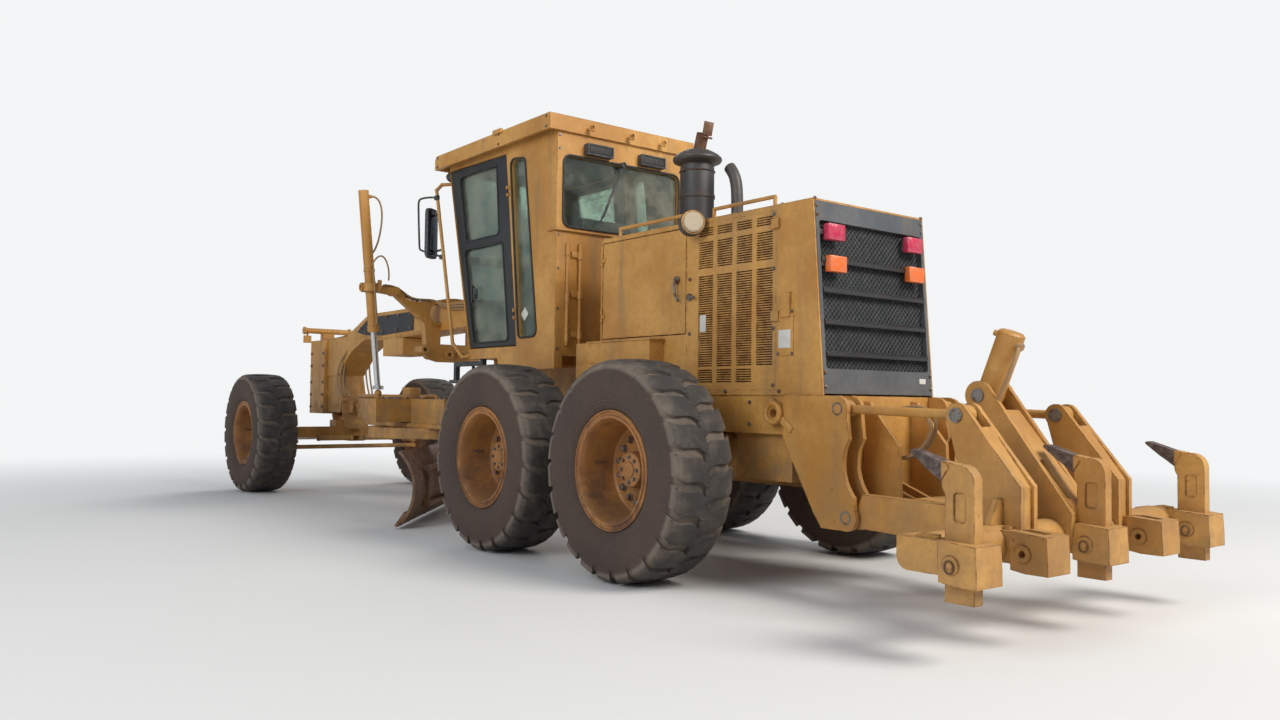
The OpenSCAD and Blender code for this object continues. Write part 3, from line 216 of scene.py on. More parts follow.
def rubber(name, centre, colour, dust):
    """Tyre: dust in the tread and on the wall, rings round the bead, darker where the lugs touch the road."""
    f = Finish(name)
    here = f.mapping(location=(-centre[0], 0, -centre[2]))
    x = f.axis("X", here)
    z = f.axis("Z", here)
    radius = f.math("SQRT", f.math("ADD", f.math("MULTIPLY", x, x), f.math("MULTIPLY", z, z)))
    soil = (dust[0] * 0.54, dust[1] * 0.40, dust[2] * 0.36)
    blotch = f.band(f.noise(2.6, 6, 0.66), 0.22, 0.78)
    wall = f.mix(blotch, rgb([0.55 * c + 0.45 * d for c, d in zip(colour, soil)]), rgb(soil))
    speck = f.band(f.noise(60, 5, 0.7), 0.45, 0.7, 0.0, 0.5)
    wall = f.mix(speck, wall, rgb([c * 0.7 for c in colour]))
    tread = f.band(radius, 0.585, 0.612)
    wall = f.mix(
        tread, wall, f.mix(f.band(f.noise(5, 6, 0.7), 0.32, 0.66), rgb(colour), rgb([0.8 * d for d in dust])),
    )
    tops = f.math("MULTIPLY", f.band(radius, 0.640, 0.656), f.band(f.noise(11, 5), 0.3, 0.6, 0.45, 1.0))
    wall = f.mix(tops, wall, rgb([c * 0.8 for c in colour]))
    base = f.math("MULTIPLY", f.band(radius, 0.640, 0.615), f.band(radius, 0.585, 0.61))
    wall = f.mix(f.math("MULTIPLY", base, 0.75), wall, rgb([d * 1.12 for d in dust]))
    f.set(Base_Color=wall, Roughness=0.88)
    rings = f.math("SINE", f.math("MULTIPLY", radius, 2 * math.pi / 0.021))
    rings = f.math(
        "MULTIPLY", rings, f.math("MULTIPLY", f.band(radius, 0.365, 0.385), f.band(radius, 0.50, 0.47)),
    )
    grain = f.math("MULTIPLY", f.noise(240, 3), 0.6)
    f.bump(f.math("ADD", f.math("MULTIPLY", rings, 0.9), grain), 0.5, 0.0022)
    return f.material


def bare_metal(name, bright, dull, roughness, rust_from):
    f = Finish(name)
    rusty = f.band(f.noise(18, 7, 0.72), rust_from, rust_from + 0.12)
    smear = f.noise(40, 4, 0.6, (1, 1, 0.2))
    f.set(Base_Color=f.mix(rusty, f.mix(smear, rgb(bright), rgb([c * 0.8 for c in bright])), rgb(dull)))
    f.set(Metallic=f.band(rusty, 0.0, 1.0, 1.0, 0.15), Roughness=f.band(rusty, 0.0, 1.0, roughness, 0.9))
    f.bump(f.noise(160, 4), 0.15, 0.0008)
    return f.material


def rusty_plate(name, rust, bare, dirt):
    """Blade steel: brown all over, rubbed brighter low down, with soil dried on it."""
    f = Finish(name)
    colour = f.mix(f.band(f.noise(4, 7, 0.7), 0.3, 0.7), rgb(rust), rgb([c * 0.5 for c in rust]))
    colour = f.mix(f.band(f.noise(16, 7, 0.72, shift=(4, 4, 4)), 0.42, 0.7, 0.0, 0.6), colour, rgb(bare))
    soil = f.math("MULTIPLY", f.band(f.axis("Z"), 0.45, 0.12), f.band(f.noise(7, 6, 0.7), 0.35, 0.6))
    colour = f.mix(f.math("MULTIPLY", soil, 0.8), colour, rgb(dirt))
    f.set(Base_Color=colour, Metallic=0.25, Roughness=0.72)
    f.bump(f.math("ADD", f.noise(90, 6, 0.7), f.noise(9, 4)), 0.35, 0.002)
    return f.material


def plain(name, colour, roughness, speck, scale, bump):
    """Rubber, plastic or small plated goods, and painted shade: one colour with dust on it."""
    f = Finish(name)
    dusty = f.band(f.noise(scale, 6, 0.7), 0.42, 0.7, 0.0, speck)
    f.set(Base_Color=f.mix(dusty, rgb(colour), rgb([0.5 * c + 0.16 for c in colour])))
    f.set(Roughness=f.band(dusty, 0.0, 1.0, roughness, 0.85))
    f.bump(f.noise(scale * 5, 4), bump, 0.0008)
    return f.material


def pane(name, tint, dust):
    """Greenish cab glass with dried dust."""
    f = Finish(name)
    film = f.band(f.noise(3.2, 6, 0.66), 0.38, 0.72, 0.03, 0.30)
    clear = f.add("BsdfTransparent", {"Color": rgb(tint)}).outputs[0]
    coat = f.add("BsdfDiffuse", {"Color": rgb(dust)}).outputs[0]
    gloss = f.add("BsdfGlossy", {"Color": (0.85, 0.9, 0.88, 1), "Roughness": 0.06}).outputs[0]
    fresnel = f.add("Fresnel", {"IOR": 1.5}).outputs[0]
    sheer = f.blend(f.math("MULTIPLY", fresnel, 0.9), clear, gloss)
    f.put(f.output.inputs[0], f.blend(film, sheer, coat))
    f.tree.nodes.remove(f.shader)
    return f.material


def lamp_lens(name, colour):
    f = Finish(name)
    ribs = f.math("SINE", f.math("MULTIPLY", f.axis("Y"), 2 * math.pi / 0.012))
    worn = f.band(f.noise(30, 5, 0.7), 0.35, 0.7, 0.0, 0.5)
    f.set(Base_Color=f.mix(worn, rgb(colour), rgb([0.6 * c + 0.15 for c in colour])), Roughness=0.22)
    f.bump(ribs, 0.3, 0.002)
    return f.material


FINISHES = {}


# Modelling helpers


def clear_selection():
    if bpy.context.object is not None and bpy.context.object.mode != "OBJECT":
        bpy.ops.object.mode_set(mode="OBJECT")
    bpy.ops.object.select_all(action="DESELECT")


def only(piece):
    clear_selection()
    piece.select_set(True)
    bpy.context.view_layer.objects.active = piece


def hex_head(radius, height):
    """A bolt head on its washer, pointing along +Z from the origin."""
    clear_selection()
    bpy.ops.mesh.primitive_cylinder_add(
        vertices=12, radius=radius * 1.45, depth=height * 0.3, location=(0, 0, height * 0.15),
    )
    washer = bpy.context.object
    bpy.ops.mesh.primitive_cylinder_add(
        vertices=6, radius=radius, depth=height, location=(0, 0, height * 0.75),
    )
    head = bpy.context.object
    bpy.ops.object.mode_set(mode="EDIT")
    select_faces(head, lambda face: face.normal.z > 0.9)
    bpy.ops.mesh.inset(thickness=radius * 0.16, depth=radius * 0.1)
    bpy.ops.object.mode_set(mode="OBJECT")
    return joined("bolt_head", [washer, head])


def select_faces(piece, test):
    """Selects the faces that pass the test, in edit mode."""
    bpy.ops.mesh.select_mode(type="FACE")
    bpy.ops.mesh.select_all(action="DESELECT")
    shape = bmesh.from_edit_mesh(piece.data)
    shape.faces.ensure_lookup_table()
    for face in shape.faces:
        if test(face):
            face.select_set(True)
    bmesh.update_edit_mesh(piece.data)


def joined(name, parts):
    """The parts as one piece, at the origin and unturned."""
    clear_selection()
    for part in parts:
        part.select_set(True)
    bpy.context.view_layer.objects.active = parts[0]
    if len(parts) > 1:
        bpy.ops.object.join()
    piece = bpy.context.object
    piece.name = name
    piece.data.name = name
    bpy.ops.object.transform_apply(location=True, rotation=True, scale=True)
    return piece


def facing(direction):
    """Turn that takes +Z to a direction."""
    return Vector(direction).normalized().to_track_quat("Z", "Y").to_matrix().to_4x4()


def copies(name, model, places):
    """The model repeated at each (point, direction), each with its own mesh, as one piece."""
    parts = []
    for point, direction in places:
        part = model.copy()
        part.data = model.data.copy()
        bpy.context.collection.objects.link(part)
        part.data.transform(Matrix.Translation(point) @ facing(direction))
        parts.append(part)
    bpy.data.objects.remove(model, do_unlink=True)
    return joined(name, parts)


def fit(piece, body, finish, smooth=30):
    """Gives a finished piece its material and its body."""
    only(piece)
    if piece.type == "MESH" and smooth:
        bpy.ops.object.shade_smooth_by_angle(angle=math.radians(smooth))
    piece.data.materials.clear()
    piece.data.materials.append(FINISHES[finish])
    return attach(piece, body)


def meshed(name, line):
    """The mesh of a drawn curve."""
    piece = bpy.data.objects.new(name, line)
    bpy.context.collection.objects.link(piece)
    only(piece)
    bpy.ops.object.convert(target="MESH")
    return bpy.context.object


def bolted(name, radius, height, spots, body, finish="zinc"):
    """Bolt heads at all the (point, direction) spots, as one piece."""
    return fit(copies(name, hex_head(radius, height), spots), body, finish)


def rod(points, radius, name="run", closed=False, sides=3, soft=True):
    """A round run of pipe, hose or wire through the points, as a mesh."""
    clear_selection()
    line = bpy.data.curves.new(name, "CURVE")
    line.dimensions = "3D"
    line.bevel_depth = radius
    line.bevel_resolution = sides
    line.use_fill_caps = True
    spline = line.splines.new("NURBS" if soft else "POLY")
    spline.points.add(len(points) - 1)
    for knot, point in zip(spline.points, points):
        knot.co = (point[0], point[1], point[2], 1)
    spline.use_cyclic_u = closed
    if soft:
        spline.order_u = 4
        spline.use_endpoint_u = not closed
        line.resolution_u = 6
    return meshed(name, line)


def path(*points):
    """Points measured from under the tandem, in this frame."""
    return [at(*point) for point in points]


def circle_of(count, radius, start=0.0):
    """Offsets (right, up) of a ring of places."""
    angles = [2 * math.pi * (i + start) / count for i in range(count)]
    return [(radius * math.cos(a), radius * math.sin(a)) for a in angles]


def grid(direction, xs, ys, zs):
    """Bolt places at all the given coordinates, facing one way."""
    return [(at(x, y, z), direction) for x in xs for y in ys for z in zs]


def named(name, piece):
    """The piece under its own name."""
    piece.name = name
    return piece


def rounded(centres, radius, steps=6):
    """Outline with rounded corners about counter-clockwise centres."""
    outline = []
    n = len(centres)
    for i in range(n):
        before, here, after = Vector(centres[i - 1]), Vector(centres[i]), Vector(centres[(i + 1) % n])
        d0, d1 = (here - before).normalized(), (after - here).normalized()
        a0 = math.atan2(-d0.x, d0.y)
        a1 = math.atan2(-d1.x, d1.y)
        while a1 < a0:
            a1 += 2 * math.pi
        for k in range(steps + 1):
            a = a0 + (a1 - a0) * k / steps
            outline.append((here.x + radius * math.cos(a), here.y + radius * math.sin(a)))
    return outline


def block(size, centre, bevel=0.004, turn=None):
    """A small solid with softened edges."""
    clear_selection()
    bpy.ops.mesh.primitive_cube_add(size=1, location=(0, 0, 0))
    piece = bpy.context.object
    piece.scale = size
    bpy.ops.object.transform_apply(scale=True)
    bpy.ops.object.mode_set(mode="EDIT")
    bpy.ops.mesh.select_all(action="SELECT")
    bpy.ops.mesh.bevel(offset=bevel, segments=2, affect="EDGES")
    bpy.ops.object.mode_set(mode="OBJECT")
    if turn is not None:
        piece.data.transform(turn)
    piece.data.transform(Matrix.Translation(centre))
    return piece


def disc(radius, depth, point, direction, rim=0.12, hollow=0.3):
    """A round lamp or cap: its face is inset and sunk or raised."""
    clear_selection()
    bpy.ops.mesh.primitive_cylinder_add(vertices=32, radius=radius, depth=depth, location=(0, 0, 0))
    piece = bpy.context.object
    bpy.ops.object.mode_set(mode="EDIT")
    select_faces(piece, lambda face: face.normal.z > 0.9)
    bpy.ops.mesh.inset(thickness=radius * rim, depth=0)
    bpy.ops.mesh.inset(thickness=radius * 0.05, depth=-depth * hollow)
    bpy.ops.object.mode_set(mode="OBJECT")
    piece.data.transform(Matrix.Translation(point) @ facing(direction))
    return piece


def revolved(name, profile, centre, side, steps=96):
    """A closed profile of (radius, place along the axle) turned about a wheel's axis."""
    clear_selection()
    bpy.ops.mesh.primitive_circle_add(vertices=len(profile), radius=1, location=(0, 0, 0))
    piece = bpy.context.object
    piece.name = name
    bpy.ops.object.mode_set(mode="EDIT")
    shape = bmesh.from_edit_mesh(piece.data)
    shape.verts.ensure_lookup_table()
    for vertex, (radius, along) in zip(shape.verts, profile):
        vertex.co = centre + Vector((radius, side * along, 0))
    bmesh.update_edit_mesh(piece.data)
    bpy.ops.mesh.select_all(action="SELECT")
    bpy.ops.mesh.spin(steps=steps, angle=2 * math.pi, center=centre, axis=(0, 1, 0), use_auto_merge=True)
    bpy.ops.mesh.select_all(action="SELECT")
    bpy.ops.mesh.remove_doubles(threshold=0.0001)
    bpy.ops.mesh.normals_make_consistent(inside=False)
    bpy.ops.object.mode_set(mode="OBJECT")
    return piece


def bent_lug(half_width, crown, wave):
    """One tread lug lying flat: a bevelled bar cut in lengths, ready to be laid round the crown."""
    clear_selection()
    bpy.ops.mesh.primitive_cube_add(size=1, location=(0, 0, 0))
    lug = bpy.context.object
    bpy.ops.object.mode_set(mode="EDIT")
    shape = bmesh.from_edit_mesh(lug.data)
    long_edges = [e for e in shape.edges if abs(e.verts[0].co.x - e.verts[1].co.x) > 0.5]
    bmesh.ops.subdivide_edges(shape, edges=long_edges, cuts=9)
    bmesh.update_edit_mesh(lug.data)
    bpy.ops.mesh.select_mode(type="EDGE")
    bpy.ops.mesh.select_all(action="DESELECT")
    shape = bmesh.from_edit_mesh(lug.data)
    for edge in shape.edges:
        a, b = edge.verts[0].co, edge.verts[1].co
        top = a.z > 0.4 and b.z > 0.4
        rim_side = abs(a.y) > 0.4 and abs(b.y) > 0.4 and a.y * b.y > 0
        end = abs(a.x) > 0.4 and abs(b.x) > 0.4 and a.x * b.x > 0
        if top and (rim_side or end):
            edge.select_set(True)
    bmesh.update_edit_mesh(lug.data)
    bpy.ops.mesh.bevel(offset=0.07, segments=2, affect="EDGES")
    bpy.ops.object.mode_set(mode="OBJECT")
    for vertex in lug.data.vertices:
        share = vertex.co.x + 0.5
        across = -0.012 + share * (half_width + 0.012)
        taper = 1.0 + 0.10 * (0.5 - vertex.co.z)
        low, high = crown(across)
        radius = low + (vertex.co.z + 0.5) * (high - low)
        vertex.co = Vector((across, vertex.co.y * 0.134 * taper + wave(across), radius))
    return lug


# Sizes and colours that a user may change


def length(name, description, default, low, high):
    return bpy.props.FloatProperty(name=name, description=description, default=default, min=low, max=high,
                                   unit="LENGTH")


def swatch(name, description, default):
    return bpy.props.FloatVectorProperty(name=name, description=description, default=default, size=3,
                                         subtype="COLOR", min=0, max=1)


class GraderSizes(bpy.types.PropertyGroup):
    stud_radius: length("Wheel nut radius", "Half the width of a wheel nut", 0.017, 0.01, 0.03)
    stud_count: bpy.props.IntProperty(
        name="Wheel nuts", description="Nuts on each wheel", default=15, min=6, max=20,
    )
    bolt_radius: length("Bolt radius", "Half the width of a frame bolt's head", 0.014, 0.006, 0.03)
    wire_radius: length("Grille wire radius", "Thickness of the expanded mesh", 0.0026, 0.001, 0.006)
    wire_pitch: length("Grille pitch", "Distance between crossing wires", 0.036, 0.02, 0.08)
    hose_radius: length("Hose radius", "Outer radius of a hydraulic hose", 0.011, 0.006, 0.02)
    gasket_radius: length("Gasket radius", "Half the width of a window's rubber", 0.009, 0.004, 0.02)


class GraderColours(bpy.types.PropertyGroup):
    paint: swatch("Paint", "Ochre body paint", (0.45, 0.205, 0.036))
    faded: swatch("Faded paint", "Paint bleached by the sun", (0.60, 0.315, 0.078))
    dirt: swatch("Soil", "Dried soil and road dust", (0.235, 0.145, 0.070))
    rust: swatch("Rust", "Rust in chips and along edges", (0.165, 0.058, 0.022))
    rubber: swatch("Tyre rubber", "Clean tyre rubber", (0.040, 0.036, 0.034))
    dust: swatch("Tyre dust", "Dust on tyres", (0.17, 0.135, 0.105))


def sizes():
    return bpy.context.scene.grader_sizes


def colours():
    return bpy.context.scene.grader_colours


# Operators


class GRADER_OT_finishes(bpy.types.Operator):
    """Makes the finishes and puts them on the machine's own nodes"""

    bl_idname = "grader.finishes"
    bl_label = "Finishes"

    def execute(self, context):
        c = colours()
        paint, faded, dirt, rust = tuple(c.paint), tuple(c.faded), tuple(c.dirt), tuple(c.rust)
        made = FINISHES

        def old_paint(key, name, base, pale=faded, soil=dirt, **wear):
            made[key] = painted(name, base, pale, soil, rust, **wear)

        old_paint("paint", "yellow_paint", paint)
        old_paint("beam_paint", "worn_paint", paint, wear=1.3, dust=1.1, low=0.5, high=1.9)
        old_paint(
            "ripper_paint", "ripper_paint", [p * 0.96 for p in paint], wear=1.3, dust=0.7, low=0.15, high=1.2,
        )
        old_paint("rim_paint", "rim_paint", (0.34, 0.135, 0.030), (0.43, 0.195, 0.050), (0.095, 0.048, 0.026),
                  wear=1.5, dust=1.3, low=0.15, high=1.2)
        old_paint(
            "slate_paint", "slate_paint", (0.066, 0.076, 0.086), (0.115, 0.120, 0.125), wear=0.8, dust=0.5,
        )
        old_paint(
            "black_paint", "black_paint", (0.014, 0.016, 0.018), (0.026, 0.028, 0.030), (0.10, 0.085, 0.07),
            wear=0.5, dust=0.3,
        )
        old_paint(
            "stack_black", "exhaust_black", (0.030, 0.029, 0.029), (0.075, 0.068, 0.062), (0.12, 0.085, 0.06),
            wear=1.9, dust=0.5,
        )
        made["blade_steel"] = rusty_plate("rusty_blade", (0.20, 0.085, 0.040), (0.26, 0.20, 0.155), dirt)
        old_paint(
            "shank_steel", "worn_shank", [p * 0.94 for p in paint], wear=1.7, dust=0.8, low=0.15, high=1.0,
            tip=TANDEM_X + SHANK_TIP_X,
        )
        made["chrome"] = bare_metal("rod_chrome", (0.62, 0.62, 0.61), (0.18, 0.11, 0.07), 0.22, 0.66)
        made["zinc"] = bare_metal("bolt_steel", (0.30, 0.29, 0.27), (0.15, 0.07, 0.035), 0.45, 0.46)
        made["mirror"] = bare_metal("mirror_glass", (0.075, 0.085, 0.095), (0.12, 0.11, 0.10), 0.10, 0.72)
        for key, name, colour, roughness, speck, scale, bump in (
            ("engine", "engine_iron", (0.07, 0.05, 0.035), 0.75, 0.6, 12, 0.3),
            ("rubber", "gasket_rubber", (0.016, 0.016, 0.016), 0.62, 0.2, 40, 0.1),
            ("ochre_hose", "dusty_hose", (0.33, 0.19, 0.075), 0.7, 0.5, 30, 0.1),
            ("trim", "cab_plastic", (0.035, 0.035, 0.036), 0.6, 0.5, 25, 0.1),
            ("lining", "cab_lining", (0.21, 0.205, 0.195), 0.85, 0.3, 20, 0.1),
            ("wire", "mesh_wire", (0.045, 0.050, 0.056), 0.5, 0.5, 14, 0.1),
            # slot_shadow is painted shade: the dark inside of the hood seen through the louvres
            ("louvre_dark", "slot_shadow", (0.075, 0.026, 0.012), 0.9, 0.06, 9, 0.1),
            ("plate", "blank_label", (0.62, 0.60, 0.55), 0.5, 0.5, 22, 0.1),
        ):
            made[key] = plain(name, colour, roughness, speck, scale, bump)
        made["glass"] = pane("cab_glass", (0.85, 0.92, 0.87), (0.42, 0.40, 0.32))
        for key, colour in (
            ("red_lens", (0.52, 0.018, 0.065)), ("amber_lens", (0.80, 0.15, 0.012)),
            ("warm_lens", (0.50, 0.41, 0.28)), ("clear_lens", (0.62, 0.63, 0.60)),
        ):
            made[key] = lamp_lens(key, colour)
        of_kind = {
            "slate_paint": "grille_frame",
            "black_paint": "grille_mesh beam_panels cab_door_left cab_door_right",
            "stack_black": "stack", "engine": "engine", "trim": "tail_lamps cab_interior cab_trim",
            "glass": "cab_glass door_glass_left door_glass_right", "blade_steel": "blade",
            "shank_steel": "shanks",
            "beam_paint": "blade_carrier turn_circle drawbar lift_arms front_frame tie_rod",
            "ripper_paint": "front_axle tandem rear_frame ripper_frame ripper_links ripper_carriage"
                            " ripper_barrel",
        }
        finish_of = {name: key for key, names in of_kind.items() for name in names.split()}
        for name, node in NODES.items():
            if name.startswith("tyre_"):
                continue
            if name.startswith("rim_"):
                key = "rim_paint"
            elif "_rod_" in name or name == "ripper_rod":
                key = "chrome"
            else:
                key = finish_of.get(name, "paint")
            node.data.materials.clear()
            node.data.materials.append(made[key])
        for x, y, tyre, rim in WHEELS.values():
            made[tyre] = rubber(tyre + "_rubber", at(x, y, TYRE_R), tuple(c.rubber), tuple(c.dust))
            NODES[tyre].data.materials.clear()
            NODES[tyre].data.materials.append(made[tyre])
        return {"FINISHED"}


def tread_crown(across):
    """Radius of the tread's floor and of a lug's top at a distance from the tyre's middle."""
    a = max(0.0, across)
    top = 0.6600 - 0.0085 * (a / 0.16) ** 2 if a < 0.16 else 0.6515 - 0.030 * ((a - 0.16) / 0.052) ** 2
    floor = 0.630 if a < 0.15 else 0.630 - 0.075 * ((a - 0.15) / 0.066) ** 2
    return min(floor, top - 0.004) - 0.006, top


def tread_wave(across):
    """How far a lug runs round the tyre as it nears the shoulder."""
    a = max(0.0, across) / 0.2145
    return 0.080 * a + 0.016 * math.sin(2 * math.pi * a)


class GRADER_OT_wheels(bpy.types.Operator):
    """Worn tyres with wavy lugs and dished rims"""

    bl_idname = "grader.wheels"
    bl_label = "Tyres and rims"

    def execute(self, context):
        half = 0.2225
        wall = [
            (0.3180, 0.1725), (0.3560, 0.1730), (0.3620, 0.1850), (0.3760, 0.1990), (0.4000, 0.2110),
            (0.4300, 0.2195), (0.4700, half), (0.5200, half), (0.5550, 0.2170), (0.5850, 0.2080),
            (0.6080, 0.1930), (0.6230, 0.1700), (0.6330, 0.1350), (0.6370, 0.0700),
        ]
        carcass = [(a, -b) for a, b in wall] + [(a, b) for a, b in reversed(wall)]
        dish = [
            (0, -0.085), (0.225, -0.085), (0.262, -0.105), (0.262, -0.150), (0.295, -0.1895),
            (0.356, -0.1895), (0.356, -0.1775), (0.317, -0.1735), (0.317, 0.1735), (0.356, 0.1775),
            (0.3562, 0.1870), (0.3535, 0.1895), (0.3440, 0.1895), (0.3400, 0.1830), (0.3260, 0.1825),
            (0.3230, 0.1890), (0.3180, 0.1895), (0.3080, 0.1885), (0.3000, 0.1780), (0.2930, 0.1500),
            (0.2870, 0.1200), (0.2740, -0.0200), (0.2680, -0.0400), (0.2560, -0.0490), (0.1160, -0.0500),
            (0.1120, -0.0460), (0.1040, 0.0380), (0.0980, 0.0430), (0.0500, 0.0430), (0.0470, 0.0480),
            (0, 0.0480),
        ]
        for body, (x, y, tyre, rim) in WHEELS.items():
            side = 1 if y > 0 else -1
            hub = at(x, y, TYRE_R)
            parts = [revolved("carcass", carcass, hub, side)]
            lug = bent_lug(half - 0.008, tread_crown, tread_wave)
            for flank in (0, 1):
                for i in range(LUGS):
                    angle = 2 * math.pi * (i + flank / 2) / LUGS
                    part = lug.copy()
                    part.data = lug.data.copy()
                    context.collection.objects.link(part)
                    for vertex in part.data.vertices:
                        across, along, radius = vertex.co
                        turn = angle + along / TYRE_R
                        sideways = (1 if flank else -1) * side * across
                        vertex.co = hub + Vector((radius * math.sin(turn), sideways, radius * math.cos(turn)))
                    if (flank == 1) == (side > 0):
                        part.data.flip_normals()
                    parts.append(part)
            bpy.data.objects.remove(lug, do_unlink=True)
            whole = joined("worn_" + tyre, parts)
            fit(whole, body, tyre, 38)
            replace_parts(whole, tyre)
            dished = revolved("dished_" + rim, dish, hub, side)
            fit(dished, body, "rim_paint", 35)
            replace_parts(dished, rim)
        return {"FINISHED"}


class GRADER_OT_wheel_nuts(bpy.types.Operator):
    """Nuts, hub cap bolts and a valve on each wheel"""

    bl_idname = "grader.wheel_nuts"
    bl_label = "Wheel nuts"

    def execute(self, context):
        s = sizes()
        for body, (x, y, _, _) in WHEELS.items():
            side = 1 if y > 0 else -1
            across = (0, side, 0)
            nuts = [
                (at(x + u, y - side * 0.0497, TYRE_R + v), across)
                for u, v in circle_of(s.stud_count, 0.200, 0.5)
            ]
            bolted("wheel_nuts_" + body[6:], s.stud_radius, 0.022, nuts, body)
            caps = [(at(x + u, y + side * 0.0428, TYRE_R + v), across) for u, v in circle_of(8, 0.074)]
            bolted("hub_bolts_" + body[6:], 0.009, 0.010, caps, body)
            route = [(0.266, 0.02), (0.262, 0.06), (0.268, 0.10)]
            stem = rod([at(x + u, y + side * v, TYRE_R + 0.03) for u, v in route], 0.006, "valve_" + body[6:])
            fit(stem, body, "zinc", 60)
        return {"FINISHED"}


class GRADER_OT_grille(bpy.types.Operator):
    """Expanded mesh in front of the radiator and the lamps' lenses"""

    bl_idname = "grader.grille"
    bl_label = "Grille"

    def execute(self, context):
        s = sizes()
        low, high, half = 1.262, 2.10, 0.462
        clear_selection()
        line = bpy.data.curves.new("grille_wires", "CURVE")
        line.dimensions = "3D"
        line.bevel_depth = s.wire_radius
        line.bevel_resolution = 0
        span = high - low

        def on_sheet(y, z):
            return at(hood_rear(z) + 0.028, y, z)

        pitch = s.wire_pitch
        count = int((2 * half + span) / pitch)
        for lean in (1, -1):
            for i in range(1, count):
                start = -half - span + i * pitch if lean > 0 else -half + i * pitch
                # The wire runs y = start + lean * (z - low), cut at the sheet's sides
                z0, z1 = low, high
                y0, y1 = start, start + lean * span
                if y1 < y0:
                    y0, y1, z0, z1 = y1, y0, z1, z0
                if y1 <= -half or y0 >= half:
                    continue
                slope = (z1 - z0) / (y1 - y0)
                if y0 < -half:
                    z0, y0 = z0 + slope * (-half - y0), -half
                if y1 > half:
                    z1, y1 = z1 - slope * (y1 - half), half
                spline = line.splines.new("POLY")
                spline.points.add(1)
                for knot, point in zip(spline.points, (on_sheet(y0, z0), on_sheet(y1, z1))):
                    knot.co = (point.x + 0.0015 * lean, point.y, point.z, 1)
        fit(meshed("grille_wires", line), "rear_body", "wire", 0)
        steps = []
        for z in (1.884, 1.711, 1.532, 1.354):
            place = on_sheet(0, z)
            steps.append(block((0.040, 0.916, 0.009), place - Vector((0.020, 0, 0)), 0.003))
            steps.append(block((0.006, 0.916, 0.026), place - Vector((0.037, 0, 0.010)), 0.002))
        fit(joined("grille_steps", steps), "rear_body", "black_paint")
        feet = []
        for side, word in SIDES:
            for z, key in ((1.853, "amber_lens"), (2.035, "red_lens")):
                x = hood_rear(z)
                lens = block((0.044, 0.142, 0.093), at(x - 0.022, side * 0.358, z), 0.007)
                fit(named(key[:-5] + "_lens_" + word, lens), "rear_body", key)
                feet.append(block((0.034, 0.110, 0.070), at(x + 0.014, side * 0.358, z), 0.006))
                feet.append(block((0.010, 0.070, 0.030), at(x + 0.004, side * 0.450, z), 0.003))
        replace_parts(fit(joined("lamp_feet", feet), "rear_body", "trim"), "tail_lamps")
        plate = block((0.004, 0.060, 0.045), at(HOOD_REAR + 0.006, -0.40, 1.20), 0.001)
        fit(named("blank_reflector", plate), "rear_body", "plate")
        return {"FINISHED"}


